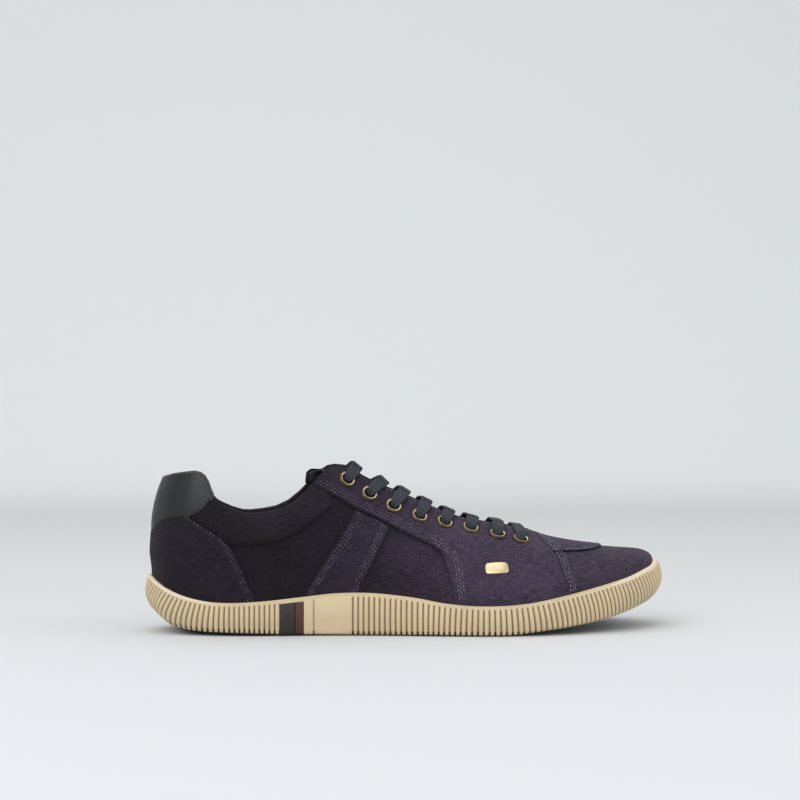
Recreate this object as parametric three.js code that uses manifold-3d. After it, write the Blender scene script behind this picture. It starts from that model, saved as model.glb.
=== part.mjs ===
// Canvas lace-up sneaker, right foot, low collar and ribbed cup sole.
// Millimetres, +Z up, toe along +X, outer (lateral) side along -Y, standing on z = 0.
import * as THREE from 'three';
import { mergeVertices } from 'three/addons/utils/BufferGeometryUtils.js';
import Module from 'manifold-3d';

const wasm = await Module();
wasm.setup();

// Driving sizes
const lastLength = 284.6;      // upper where it meets the sole, heel to toe
const ballWidth = 96;          // upper where it meets the sole, at the ball
const ankleWidth = 54;         // across the ankle above the collar
const upperHeight = 92;        // floor to the top of the lace facings
const lipHeight = 23.3;        // floor to the sole's edge at the waist
const bedHeight = 13;          // floor to the inside of the sole at the heel
const toeSpring = 15.8;        // lift of the sole's underside at the toe
const flare = 3.5;             // swell of the side above the sole
const wall = 2;                // upper with its lining
const overlay = 1.2;           // canvas and leather laid over the upper
const gap = 0.3;               // between pieces that touch
const collarTilt = 0.02;       // fall of the collar for each millimetre towards the inner side
const throatHalf = 13;         // half the opening between the lace facings at the top
const soleLip = 1.6;           // thickness of the sole's edge
const lipDepth = 1.4;          // smooth band above the ribs
const ribTop = 2.9;            // how far the ribs stand out from the upper, at their tops,
const ribMiddle = 4.4;         // at their middles
const ribFoot = 3.6;           // and at their lower ends
const ribDepth = 0.7;
const ribPitch = 2.86;
const soleEdge = 1.4;          // lower rounded edge of the sole
const groundInset = 5;         // the flat underside starts this far in
const endTuck = 5;             // undercut of the sole at heel and toe
const inlayDepth = 1.1;
const soleClearance = 0.4;     // between the upper and the inside of the sole
const insoleThickness = 3;
const insoleClearance = 0.6;
const tongueThickness = 3;
const tongueClearance = 1.1;
const tongueHalf = 24;         // half its width, along its curve
const tongueTop = 88.5;        // where the tongue flattens under the top of the facings
const eyeletHole = 3.1;        // radius
const eyeletBarrel = 0.35;     // thickness of the barrel
const eyeletFlange = 5;        // radius
const eyeletRim = 0.6;
const eyeletSeat = 0.68;       // from the facing up to the underside of the flange
const laceWidth = 7;
const laceThickness = 1.6;
const laceClearance = 0.8;
const laceLean = 9;            // the most that a lace runs forward on its way to the throat
const trimThickness = 0.7;

const rows = 6;                // from the sole to the top of the last
const holeSides = 8;
const ribsInColumn = 5;        // ribs of the sole's side to each column around the shoe
const crowding = 0.015;        // columns lie closer at heel and toe
const weld = 0.001;            // points of a mesh nearer than this are one
const halvings = 24;           // when a place is found by halving

// The upper where it meets the sole, seen from above: along is a share of lastLength from the
// heel, lateral and medial are shares of ballWidth out from the centre line.
const outline = [
  { along: 0, lateral: 0, medial: 0 },
  { along: 0.02, lateral: 0.152, medial: 0.152 },
  { along: 0.05, lateral: 0.238, medial: 0.238 },
  { along: 0.10, lateral: 0.303, medial: 0.303 },
  { along: 0.18, lateral: 0.340, medial: 0.338 },
  { along: 0.30, lateral: 0.352, medial: 0.330 },
  { along: 0.42, lateral: 0.382, medial: 0.318 },
  { along: 0.52, lateral: 0.436, medial: 0.350 },
  { along: 0.62, lateral: 0.488, medial: 0.422 },
  { along: 0.70, lateral: 0.502, medial: 0.478 },
  { along: 0.78, lateral: 0.474, medial: 0.498 },
  { along: 0.86, lateral: 0.392, medial: 0.464 },
  { along: 0.92, lateral: 0.302, medial: 0.408 },
  { along: 0.96, lateral: 0.208, medial: 0.338 },
  { along: 0.985, lateral: 0.108, medial: 0.256 },
];
const toePoint = { along: 1, medial: 0.085 };

// The sole's edge: share is how far round from the heel (0) to the toe (1) on either side,
// height is a share of lipHeight, tuck of endTuck, swell scales how far the ribs stand out.
const lipLine = [
  { share: 0, height: 1.350, tuck: 1, swell: 0.88 },
  { share: 0.045, height: 1.175, tuck: 0.9, swell: 0.88 },
  { share: 0.100, height: 0.905, tuck: 0.5, swell: 0.92 },
  { share: 0.155, height: 0.778, tuck: 0.15, swell: 0.96 },
  { share: 0.222, height: 0.795, tuck: 0, swell: 1 },
  { share: 0.300, height: 0.905, tuck: 0, swell: 1 },
  { share: 0.350, height: 0.985, tuck: 0, swell: 1 },
  { share: 0.410, height: 0.995, tuck: 0, swell: 1 },
  { share: 0.480, height: 0.900, tuck: 0, swell: 1 },
  { share: 0.538, height: 0.760, tuck: 0, swell: 1 },
  { share: 0.600, height: 0.700, tuck: 0, swell: 1 },
  { share: 0.670, height: 0.750, tuck: 0, swell: 1 },
  { share: 0.740, height: 0.920, tuck: 0, swell: 1 },
  { share: 0.812, height: 1.120, tuck: 0.1, swell: 1 },
  { share: 0.862, height: 1.260, tuck: 0.3, swell: 1 },
  { share: 0.910, height: 1.430, tuck: 0.6, swell: 1.08 },
  { share: 0.955, height: 1.560, tuck: 0.9, swell: 1.25 },
  { share: 1, height: 1.620, tuck: 1, swell: 1.38 },
];

// The sole along its length: under is the underside as a share of toeSpring, bed the inside as
// a share of bedHeight.
const bedLine = [
  { along: -0.02, under: 0.34, bed: 1 },
  { along: 0.02, under: 0.14, bed: 1 },
  { along: 0.05, under: 0.05, bed: 1 },
  { along: 0.09, under: 0, bed: 1 },
  { along: 0.30, under: 0, bed: 0.96 },
  { along: 0.50, under: 0, bed: 0.84 },
  { along: 0.66, under: 0, bed: 0.74 },
  { along: 0.758, under: 0.18, bed: 0.86 },
  { along: 0.824, under: 0.33, bed: 1.02 },
  { along: 0.873, under: 0.46, bed: 1.17 },
  { along: 0.926, under: 0.67, bed: 1.42 },
  { along: 0.978, under: 0.90, bed: 1.70 },
  { along: 1.02, under: 1.08, bed: 1.92 },
];

// Sections of the last, from the sole up to the ridge or the ankle: share as above; topAlong is
// a share of lastLength, topHalf of ankleWidth, ridge of ballWidth towards the inner side and
// topHeight of upperHeight; rise and swell set the lower handle of the curve as shares of its
// height and of flare, lead and drop the upper handle as shares of its width and height.
const sectionColumns = ['share', 'topAlong', 'topHalf', 'ridge', 'topHeight', 'rise', 'swell', 'lead',
  'drop'];
const sections = [
  [0, 0.054, 0, 0, 1.087, 0.35, 0.10, 0.87, 0.29],
  [0.06, 0.068, 0.23, 0, 1.087, 0.34, 0.40, 0.80, 0.30],
  [0.13, 0.112, 0.385, 0, 1.087, 0.33, 0.70, 0.70, 0.32],
  [0.22, 0.194, 0.425, 0, 1.087, 0.33, 0.92, 0.60, 0.34],
  [0.32, 0.299, 0.335, 0, 1.087, 0.35, 1, 0.78, 0.30],
  [0.42, 0.408, 0.150, 0, 1.012, 0.33, 0.80, 0.60, 0.39],
  [0.50, 0.502, 0.140, 0, 0.858, 0.37, 0.80, 0.55, 0.36],
  [0.58, 0.596, 0.110, 0, 0.722, 0.34, 0.72, 0.57, 0.335],
  [0.66, 0.691, 0.060, 0.008, 0.645, 0.33, 0.58, 0.60, 0.25],
  [0.74, 0.775, 0, 0.021, 0.551, 0.37, 0.54, 0.62, 0.02],
  [0.82, 0.845, 0, 0.036, 0.505, 0.42, 0.43, 0.60, -0.02],
  [0.90, 0.905, 0, 0.055, 0.484, 0.42, 0.25, 0.60, -0.02],
  [0.96, 0.942, 0, 0.070, 0.476, 0.45, 0.20, 0.64, 0.01],
  [1, 0.955, 0, 0.078, 0.474, 0.48, 0.20, 0.66, 0.03],
].map((row) => Object.fromEntries(row.map((value, i) => [sectionColumns[i], value])));

// Seam lines seen from the side, the same on both sides of the shoe: along is a share of
// lastLength from the heel, height a share of upperHeight.
const collarLine = [
  [-0.060, 0.905], [0.026, 0.920], [0.043, 0.934], [0.066, 0.943], [0.083, 0.947], [0.094, 0.940],
  [0.103, 0.920], [0.110, 0.886], [0.115, 0.842], [0.121, 0.802], [0.129, 0.774], [0.141, 0.750],
  [0.157, 0.726], [0.180, 0.705], [0.198, 0.704], [0.221, 0.712], [0.246, 0.727], [0.271, 0.763],
  [0.293, 0.823], [0.308, 0.877], [0.333, 0.962], [0.346, 0.992], [0.360, 1.000], [0.382, 0.994],
  [0.410, 0.985], [0.430, 1.000],
];
const tabLine = [
  [-0.068, 0.580], [-0.009, 0.578], [0.008, 0.613], [0.015, 0.644], [0.025, 0.670], [0.035, 0.684],
  [0.053, 0.692], [0.075, 0.694], [0.089, 0.719], [0.100, 0.741], [0.107, 0.768], [0.112, 0.792],
  [0.148, 0.795],
];
const counterLine = [
  [0.075, 0.694], [0.094, 0.655], [0.121, 0.604], [0.146, 0.548], [0.160, 0.487], [0.172, 0.418],
  [0.182, 0.346], [0.189, 0.286], [0.199, 0.215], [0.210, 0],
];
const padLine = [
  [0.146, 0.548], [0.170, 0.539], [0.191, 0.537], [0.215, 0.545], [0.241, 0.558], [0.273, 0.598],
  [0.307, 0.667], [0.333, 0.729], [0.362, 0.795],
];
const eyestayLine = [
  [0.303, 0.896], [0.362, 0.795], [0.390, 0.744], [0.439, 0.672], [0.470, 0.623], [0.505, 0.568],
  [0.540, 0.516], [0.561, 0.471], [0.571, 0.428], [0.575, 0.381], [0.577, 0.306], [0.582, 0.180],
  [0.592, 0],
];
const strapBack = [
  [0.393, 0.738], [0.366, 0.607], [0.333, 0.446], [0.300, 0.284], [0.295, 0.246], [0.283, 0],
];
const strapFront = [
  [0.461, 0.637], [0.438, 0.505], [0.418, 0.385], [0.401, 0.274], [0.392, 0],
];
const toeSeam = [
  [0.804, 0], [0.797, 0.269], [0.791, 0.318], [0.786, 0.383], [0.782, 0.446], [0.775, 0.487],
  [0.764, 0.519], [0.757, 0.562], [0.753, 0.600],
];
const trimPlace = { along: 0.6605, height: 0.383, width: 13, tall: 5.5 };

// The throat between the lace facings from above: half is a share of throatHalf.
const throat = [
  { along: 0.300, half: 1.06 },
  { along: 0.360, half: 1 },
  { along: 0.500, half: 0.94 },
  { along: 0.600, half: 0.84 },
  { along: 0.669, half: 0.70 },
  { along: 0.708, half: 0.54 },
  { along: 0.729, half: 0.34 },
  { along: 0.738, half: 0 },
];

// The small tab on top of the toe, from above: half is a share of ballWidth.
const toeTab = [
  { along: 0.740, half: 0.31 },
  { along: 0.785, half: 0.295 },
  { along: 0.830, half: 0.255 },
  { along: 0.859, half: 0.21 },
  { along: 0.878, half: 0.15 },
  { along: 0.891, half: 0.075 },
  { along: 0.895, half: 0 },
];

// Eyelets from the ankle to the toe, seen from the side; lean is how far forward the lace runs
// on its way to the throat, as a share of laceLean.
const eyelets = [
  { along: 0.377, height: 0.912, lean: 0.70 },
  { along: 0.421, height: 0.826, lean: 1 },
  { along: 0.468, height: 0.751, lean: 0.80 },
  { along: 0.518, height: 0.689, lean: 0.55 },
  { along: 0.568, height: 0.648, lean: 0.40 },
  { along: 0.620, height: 0.611, lean: 0.25 },
  { along: 0.673, height: 0.573, lean: 0.15 },
  { along: 0.718, height: 0.541, lean: 0 },
];

// Plain blocks let into the lateral side of the sole, as shares round from the heel.
const darkInlay = { from: 0.270, to: 0.298 };
const redInlay = { from: 0.298, to: 0.316 };
const smoothPanel = { from: 0.270, to: 0.405 };

// A table carried on past both ends as its mirror, so that its curves run smoothly through the
// heel and the toe. On the inner side (share under 0) the columns in odd change sign.
function mirrored(table, odd) {
  const flipped = (row, share, sign) => {
    const copy = { ...row, share };
    for (const name of odd) copy[name] = sign * row[name];
    return copy;
  };
  const inner = table.slice(1).map((row) => flipped(row, -row.share, -1)).reverse();
  const past = table.slice(-3, -1).map((row) => flipped(row, 2 - row.share, -1)).reverse();
  const before = past.map((row) => flipped(row, -row.share, -1)).reverse();
  return [...before, ...inner, ...table, ...past];
}

// The values of a table at one place: a cubic between two rows, each row's slope taken from
// the rows on either side of it.
function smooth(table, key, at) {
  const end = table.length - 1;
  let i = 0;
  while (i < end - 1 && at > table[i + 1][key]) i += 1;
  const low = table[i];
  const high = table[i + 1];
  const before = table[Math.max(i - 1, 0)];
  const after = table[Math.min(i + 2, end)];
  const span = high[key] - low[key];
  const t = Math.min(Math.max((at - low[key]) / span, 0), 1);
  const result = {};
  for (const name of Object.keys(low)) {
    const lowSlope = (high[name] - before[name]) / (high[key] - before[key]) * span;
    const highSlope = (after[name] - low[name]) / (after[key] - low[key]) * span;
    result[name] = low[name] * (2 * t ** 3 - 3 * t ** 2 + 1) + lowSlope * (t ** 3 - 2 * t ** 2 + t)
      + high[name] * (3 * t ** 2 - 2 * t ** 3) + highSlope * (t ** 3 - t ** 2);
  }
  return result;
}

const sectionTable = mirrored(sections, ['topHalf']);
const lipTable = mirrored(lipLine, []);

const alongX = (along) => (along - 0.5) * lastLength;
const xToAlong = (x) => x / lastLength + 0.5;
const lipAt = (share) => smooth(lipTable, 'share', share);
const lipZ = (share) => lipAt(share).height * lipHeight;
const underZ = (x) => Math.max(smooth(bedLine, 'along', xToAlong(x)).under * toeSpring, 0);
const bedZ = (x) => smooth(bedLine, 'along', xToAlong(x)).bed * bedHeight;

// The outline as one closed line. A place on it is a share from -1 to 1: 0 is the heel, above 0
// the lateral side, below 0 the medial side, and 1 or -1 the toe.
const outlineLoop = (() => {
  const steps = 24;
  const side = (name, sign) => outline.map((row) =>
    new THREE.Vector3(alongX(row.along), sign * row[name] * ballWidth, 0));
  const toe = new THREE.Vector3(alongX(toePoint.along), toePoint.medial * ballWidth, 0);
  const points = [...side('lateral', -1), toe, ...side('medial', 1).slice(1).reverse()];
  const curve = new THREE.CatmullRomCurve3(points, true, 'catmullrom', 0.5);
  const samples = curve.getPoints(points.length * steps);
  const toeIndex = outline.length * steps;
  const measured = (list) => {
    const lengths = [0];
    for (let i = 1; i < list.length; i += 1) {
      lengths.push(lengths[i - 1] + list[i].distanceTo(list[i - 1]));
    }
    return { list, lengths };
  };
  return {
    lateral: measured(samples.slice(0, toeIndex + 1)),
    medial: measured(samples.slice(toeIndex).reverse()),
  };
})();

function outlinePoint(share) {
  const wrapped = share > 1 ? share - 2 : share < -1 ? share + 2 : share;
  const { list, lengths } = wrapped >= 0 ? outlineLoop.lateral : outlineLoop.medial;
  const target = Math.abs(wrapped) * lengths[lengths.length - 1];
  let i = 0;
  while (i < lengths.length - 2 && lengths[i + 1] < target) i += 1;
  return list[i].clone().lerp(list[i + 1], (target - lengths[i]) / (lengths[i + 1] - lengths[i]));
}

// The outline moved outwards in plan by outset, at height z.
function rim(share, outset, z) {
  const step = 0.004;
  const run = outlinePoint(share + step).sub(outlinePoint(share - step)).normalize();
  return outlinePoint(share).add(new THREE.Vector3(run.y, -run.x, 0).multiplyScalar(outset)).setZ(z);
}

// One section of the last: a cubic from the sole's edge (v = 0) to the ridge or ankle (v = 1).
const sectionCurves = new Map();

function sectionCurve(share) {
  if (sectionCurves.has(share)) return sectionCurves.get(share);
  const row = smooth(sectionTable, 'share', share);
  const foot = rim(share, 0, lipZ(share));
  const top = new THREE.Vector3(alongX(row.topAlong),
    row.ridge * ballWidth - row.topHalf * ankleWidth, row.topHeight * upperHeight);
  const height = top.z - foot.z;
  const lower = rim(share, row.swell * flare, foot.z + row.rise * height);
  const upper = top.clone().lerp(foot, row.lead).setZ(top.z - row.drop * height);
  const curve = new THREE.CubicBezierCurve3(foot, lower, upper, top);
  sectionCurves.set(share, curve);
  return curve;
}

const lastPoint = (share, v) => sectionCurve(share).getPoint(v);

function lastNormal(share, v) {
  const step = 0.004;
  const low = Math.max(v - step, 0);
  const high = Math.min(v + step, 1);
  const around = lastPoint(share + step, v).sub(lastPoint(share - step, v));
  const up = lastPoint(share, high).sub(lastPoint(share, low));
  return around.cross(up).normalize();
}

// A point of the last moved out by grow. Where both sides meet on the ridge, their normals are
// made one.
function grownPoint(share, v, grow) {
  const normal = lastNormal(share, v);
  if (v === 1 && lastPoint(share, 1).distanceTo(lastPoint(-share, 1)) < weld) {
    normal.add(lastNormal(-share, v)).normalize();
  }
  return lastPoint(share, v).addScaledVector(normal, grow);
}

// Shares of the columns around a ring, from the heel round the lateral side to the toe and back.
function ringShares(count) {
  const shares = [];
  for (let i = 0; i < count; i += 1) {
    const u = 2 * i / count;
    const folded = u <= 1 ? u : 2 - u;
    const share = folded - crowding * Math.sin(2 * Math.PI * folded);
    shares.push(u <= 1 ? share : -share);
  }
  return shares;
}

const sideLength = outlineLoop.lateral.lengths.at(-1) + outlineLoop.medial.lengths.at(-1)
  + 2 * Math.PI * ribMiddle;
const columns = 2 * Math.round(sideLength / ribPitch / ribsInColumn / 2);
const shares = ringShares(columns);
const ribShares = ringShares(columns * ribsInColumn * 2);

// A closed body from rings of points. Where one ring has more columns than the next, they are
// joined by fans. The first and last rings are capped by strips from side to side, unless the
// rings go round and close on each other.
function ringBody(rings, closed) {
  const positions = [];
  const triangle = (a, b, c) => positions.push(...a.toArray(), ...b.toArray(), ...c.toArray());
  const band = (low, high) => {
    const count = Math.min(low.length, high.length);
    const many = Math.max(low.length, high.length) / count;
    const turned = low.length > high.length;
    const few = turned ? high : low;
    const fine = turned ? low : high;
    const put = turned ? (a, b, c) => triangle(a, c, b) : triangle;
    const half = Math.ceil(many / 2);
    for (let i = 0; i < count; i += 1) {
      const here = few[i];
      const next = few[(i + 1) % count];
      const at = (k) => fine[(i * many + k) % fine.length];
      for (let k = 0; k < half; k += 1) put(here, at(k + 1), at(k));
      put(here, next, at(half));
      for (let k = half; k < many; k += 1) put(next, at(k + 1), at(k));
    }
  };
  const cap = (ring, upwards) => {
    const count = ring.length;
    for (let i = 0; i < count / 2; i += 1) {
      const a = ring[i];
      const b = ring[i + 1];
      const c = ring[(count - i - 1) % count];
      const d = ring[(count - i) % count];
      if (upwards) {
        triangle(a, b, c);
        triangle(a, c, d);
      } else {
        triangle(a, c, b);
        triangle(a, d, c);
      }
    }
  };
  for (let i = 1; i < rings.length; i += 1) band(rings[i - 1], rings[i]);
  if (closed) {
    band(rings[rings.length - 1], rings[0]);
  } else {
    cap(rings[0], false);
    cap(rings[rings.length - 1], true);
  }
  return solid(geometryOf(positions));
}

function geometryOf(positions) {
  const geometry = new THREE.BufferGeometry();
  geometry.setAttribute('position', new THREE.Float32BufferAttribute(positions, 3));
  return geometry;
}

// A closed mesh as a solid that can be cut.
function solid(geometry) {
  const bare = geometry.clone();
  bare.deleteAttribute('normal');
  bare.deleteAttribute('uv');
  const merged = mergeVertices(bare, weld);
  const index = merged.getIndex().array;
  const kept = [];
  for (let i = 0; i < index.length; i += 3) {
    const [a, b, c] = [index[i], index[i + 1], index[i + 2]];
    if (a !== b && b !== c && c !== a) kept.push(a, b, c);
  }
  return new wasm.Manifold(new wasm.Mesh({
    numProp: 3,
    vertProperties: new Float32Array(merged.getAttribute('position').array),
    triVerts: new Uint32Array(kept),
  }));
}

function meshOf(body) {
  const data = body.getMesh();
  const geometry = new THREE.BufferGeometry();
  geometry.setAttribute('position', new THREE.BufferAttribute(data.vertProperties, 3));
  geometry.setIndex(new THREE.BufferAttribute(data.triVerts, 1));
  geometry.computeVertexNormals();
  return geometry;
}

const shoe = new THREE.Group();

function add(name, geometry, material) {
  const mesh = new THREE.Mesh(geometry, material);
  mesh.name = name;
  shoe.add(mesh);
  return mesh;
}

const finish = (color, roughness, metalness) =>
  new THREE.MeshStandardMaterial({ color, roughness, metalness });
const canvas = finish(0x2a2530, 0.95, 0);
const overlayCanvas = finish(0x3a3442, 0.95, 0);
const leather = finish(0x24262a, 0.45, 0);
const lining = finish(0x1f1e24, 0.95, 0);
const rubber = finish(0xbfa987, 0.7, 0);
const darkRubber = finish(0x2b2721, 0.6, 0);
const redRubber = finish(0x54342a, 0.6, 0);
const brass = finish(0xc9a96a, 0.3, 1);
const lace = finish(0x34363e, 0.8, 0);

// The last as a solid, grown by grow, and carried down by depth below the inside of the sole.
const underBed = 6;

function lastBody(grow, depth) {
  const low = (share) => {
    const point = rim(share, grow, 0);
    return point.setZ(bedZ(point.x) + gap - depth);
  };
  const rings = [shares.map(low)];
  for (let j = 0; j <= rows; j += 1) {
    rings.push(shares.map((share) => grownPoint(share, j / rows, grow)));
  }
  return ringBody(rings, false);
}

// Cutters: an outline seen from the side pushed through the shoe, and one seen from above.
const sidePoints = (line) => line.map(([along, height]) =>
  new THREE.Vector2(alongX(along), height * upperHeight));
const reach = 100;

function sideCutter(points, yLow, yHigh) {
  const geometry = new THREE.ExtrudeGeometry(new THREE.Shape(points),
    { depth: yHigh - yLow, bevelEnabled: false });
  return solid(geometry.rotateX(Math.PI / 2).translate(0, yHigh, 0));
}

function planCutter(points, zLow, zHigh) {
  const geometry = new THREE.ExtrudeGeometry(new THREE.Shape(points),
    { depth: zHigh - zLow, bevelEnabled: false });
  return solid(geometry.translate(0, 0, zLow));
}

// An outline, anticlockwise, drawn in by distance all round; sharp corners move less.
const sharpest = 0.5;

function inset(points, distance) {
  return points.map((point, i) => {
    const before = points[(i + points.length - 1) % points.length];
    const after = points[(i + 1) % points.length];
    const into = point.clone().sub(before).normalize();
    const out = after.clone().sub(point).normalize();
    const normal = new THREE.Vector2(-into.y - out.y, into.x + out.x).normalize();
    const spread = Math.max(normal.dot(new THREE.Vector2(-into.y, into.x)), sharpest);
    return point.clone().addScaledVector(normal, distance / spread);
  });
}

function panelOutline(points) {
  const turned = THREE.ShapeUtils.isClockWise(points) ? points.slice().reverse() : points;
  return inset(turned, gap / 2);
}

// Seam lines are carried on above the shoe and below the ground, as shares of upperHeight.
const above = 1.4;
const below = -0.1;
const raised = (line, index) => [line.at(index)[0], above];
const lowered = (line, index) => [line.at(index)[0], below];

const collarCutter = (() => {
  const lines = [...collarLine, raised(collarLine, -1), raised(collarLine, 0)];
  const cutter = sideCutter(sidePoints(lines), -reach, reach);
  const tilt = new THREE.Matrix4().makeShear(0, 0, 0, -collarTilt, 0, 0);
  return cutter.transform(tilt.elements);
})();

const ridgeY = (x) => smooth(sections, 'topAlong', xToAlong(x)).ridge * ballWidth;
const throatHalfAt = (x) => smooth(throat, 'along', xToAlong(x)).half * throatHalf;

// An outline seen from above: one side given from the rear to the front end, the other mirrored,
// both moved over with the ridge.
function aboutRidge(side) {
  const other = side.slice(0, -1).reverse().map((point) => new THREE.Vector2(point.x, -point.y));
  const points = [...side, ...other].reverse();
  for (const point of points) point.y += ridgeY(point.x);
  return points;
}

const throatSteps = 9;
const throatCutter = (() => {
  const first = throat[0].along;
  const length = throat[throat.length - 1].along - first;
  const side = [];
  for (let i = 0; i <= throatSteps; i += 1) {
    const x = alongX(first + length * Math.sin(Math.PI / 2 * i / throatSteps));
    side.push(new THREE.Vector2(x, Math.max(throatHalfAt(x), 0)));
  }
  return planCutter(aboutRidge(side), lipHeight, upperHeight * above);
})();

// A place on the last seen from the side at x and z: its share round the shoe and its v.
function placeOnLast(side, x, z) {
  const rowOf = (share) => {
    let low = 0;
    let high = 1;
    for (let i = 0; i < halvings; i += 1) {
      const v = (low + high) / 2;
      if (lastPoint(share, v).z < z) low = v;
      else high = v;
    }
    return (low + high) / 2;
  };
  let low = 0;
  let high = 1;
  for (let i = 0; i < halvings; i += 1) {
    const share = (low + high) / 2;
    if (lastPoint(side * share, rowOf(side * share)).x < x) low = share;
    else high = share;
  }
  const share = side * (low + high) / 2;
  return { share, v: rowOf(share) };
}

// The v at which a section, grown by grow, comes within half of the centre line.
function rowAtHalf(share, half, grow = 0) {
  let low = 0;
  let high = 1;
  for (let i = 0; i < halvings; i += 1) {
    const v = (low + high) / 2;
    const point = grow ? grownPoint(share, v, grow) : lastPoint(share, v);
    if (Math.abs(point.y) > half) low = v;
    else high = v;
  }
  return (low + high) / 2;
}

// A closed body between a front and a back grid of points, both given as rows of points.
function sheetBody(front, back) {
  const positions = [];
  const triangle = (a, b, c) => positions.push(...a.toArray(), ...b.toArray(), ...c.toArray());
  const quad = (a, b, c, d) => {
    triangle(a, b, c);
    triangle(a, c, d);
  };
  const lastRow = front.length - 1;
  const lastColumn = front[0].length - 1;
  for (let i = 0; i < lastRow; i += 1) {
    for (let j = 0; j < lastColumn; j += 1) {
      quad(front[i][j], front[i][j + 1], front[i + 1][j + 1], front[i + 1][j]);
      quad(back[i][j], back[i + 1][j], back[i + 1][j + 1], back[i][j + 1]);
    }
    quad(front[i][0], front[i + 1][0], back[i + 1][0], back[i][0]);
    quad(front[i][lastColumn], back[i][lastColumn], back[i + 1][lastColumn], front[i + 1][lastColumn]);
  }
  for (let j = 0; j < lastColumn; j += 1) {
    quad(front[0][j], back[0][j], back[0][j + 1], front[0][j + 1]);
    quad(front[lastRow][j], front[lastRow][j + 1], back[lastRow][j + 1], back[lastRow][j]);
  }
  return solid(geometryOf(positions));
}

// Sole: a cup with a ribbed side. Ribs run from under the edge to the lower corner.

// A point of the sole's side: fall goes from 0 under the smooth edge to 1 at the ground.
function sidePoint(share, { outset, tuck, fall }) {
  const row = lipAt(share);
  const under = underZ(outlinePoint(share).x);
  const top = row.height * lipHeight - lipDepth;
  return rim(share, outset * row.swell - tuck * row.tuck * endTuck, top + (under - top) * fall);
}

const ribLevels = [
  { outset: ribTop, tuck: 0, fall: 0.03 },
  { outset: ribMiddle, tuck: 0, fall: 0.45 },
  { outset: ribFoot, tuck: 0.9, fall: 0.88 },
];
const soleCorner = { outset: soleEdge, tuck: 1.2, fall: 0.97 };
const groundTuck = 1.4;

const isInlaid = (share) => share > darkInlay.from && share < redInlay.to;

function ribRing(level) {
  return ribShares.map((share, i) => {
    const plain = share >= smoothPanel.from && share <= smoothPanel.to;
    const inlaid = isInlaid(share);
    const valley = i % 2 === 1 && !plain ? ribDepth : 0;
    const cut = inlaid ? inlayDepth : valley;
    return sidePoint(share, { ...level, outset: level.outset - cut });
  });
}

function outsoleBody() {
  const ground = (share) => {
    const point = rim(share, -groundInset - groundTuck * endTuck * lipAt(share).tuck, 0);
    return point.setZ(underZ(point.x));
  };
  const bed = (share) => {
    const point = rim(share, soleClearance, 0);
    return point.setZ(bedZ(point.x));
  };
  const rings = [
    shares.map(bed),
    shares.map((share) => rim(share, soleClearance, lipZ(share))),
    shares.map((share) => rim(share, soleLip, lipZ(share))),
    shares.map((share) => rim(share, soleLip + gap, lipZ(share) - lipDepth)),
    ...ribLevels.map(ribRing),
    shares.map((share) => sidePoint(share, soleCorner)),
    shares.map(ground),
  ];
  return ringBody(rings.reverse(), false);
}

// A block in the recess between two shares, kept clear of the recess and of its fellow.
const inlayFall = { top: 0.06, foot: 0.83 };

function inlayBody(zone) {
  const recess = ribShares.filter(isInlaid);
  const slack = 2 * gap / sideLength;
  const ends = [Math.max(zone.from, recess[0]) + slack, Math.min(zone.to, recess.at(-1)) - slack];
  const [top, middle, foot] = ribLevels;
  const levels = [{ ...top, fall: inlayFall.top }, middle, { ...foot, fall: inlayFall.foot }];
  const surface = (depth) => levels.map((level) =>
    ends.map((share) => sidePoint(share, { ...level, outset: level.outset - depth })));
  return sheetBody(surface(inlayDepth - gap), surface(0));
}

function insoleBody() {
  const edge = -wall - insoleClearance;
  const layer = (lift) => shares.map((share) => {
    const point = rim(share, edge, 0);
    return point.setZ(bedZ(point.x) + lift);
  });
  return ringBody([layer(gap), layer(gap + insoleThickness)], false);
}

// What lies over the upper stops just above the sole's edge: it is cut by a band that reaches
// lipCutIn into the shoe and lipCutOut out of it.
const lipCutIn = 8;
const lipCutOut = 12;
const lipCutter = (() => {
  const low = (outset) => shares.map((share) => rim(share, outset, -lipHeight));
  const high = (outset) => shares.map((share) => rim(share, outset, lipZ(share) + gap));
  return ringBody([low(-lipCutIn), low(lipCutOut), high(lipCutOut), high(soleLip), high(0),
    high(-lipCutIn)], true);
})();

const eyeletPlaces = eyelets.flatMap((eyelet, i) => [1, -1].map((side) => {
  const place = placeOnLast(side, alongX(eyelet.along), eyelet.height * upperHeight);
  const normal = lastNormal(place.share, place.v);
  return {
    name: `eyelet_${side > 0 ? 'lateral' : 'medial'}_${i + 1}`,
    place,
    point: lastPoint(place.share, place.v),
    normal,
    turn: new THREE.Quaternion().setFromUnitVectors(new THREE.Vector3(0, 1, 0), normal),
  };
}));

const holeCutter = (() => {
  const radius = eyeletHole + eyeletBarrel + gap;
  const length = 4 * (wall + overlay);
  const holes = eyeletPlaces.map(({ point, turn }) => solid(
    new THREE.CylinderGeometry(radius, radius, length, holeSides).applyQuaternion(turn)
      .translate(...point.toArray())));
  return wasm.Manifold.union(holes);
})();

// Upper: a hollow wall, open at collar, throat and underneath.
const openings = [collarCutter, throatCutter, holeCutter];
const cutOpen = (body) => openings.reduce((left, cutter) => left.subtract(cutter), body);
const upper = cutOpen(lastBody(0, 0).subtract(lastBody(-wall, underBed)));

// Pieces laid over the upper, each cut from one shell by its outline from the side.
const overlayShell = cutOpen(lastBody(gap + overlay, 0).subtract(lastBody(gap, underBed))
  .subtract(lipCutter));

function panel(lines, yLow, yHigh) {
  return overlayShell.intersect(sideCutter(panelOutline(sidePoints(lines)), yLow, yHigh));
}

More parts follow.
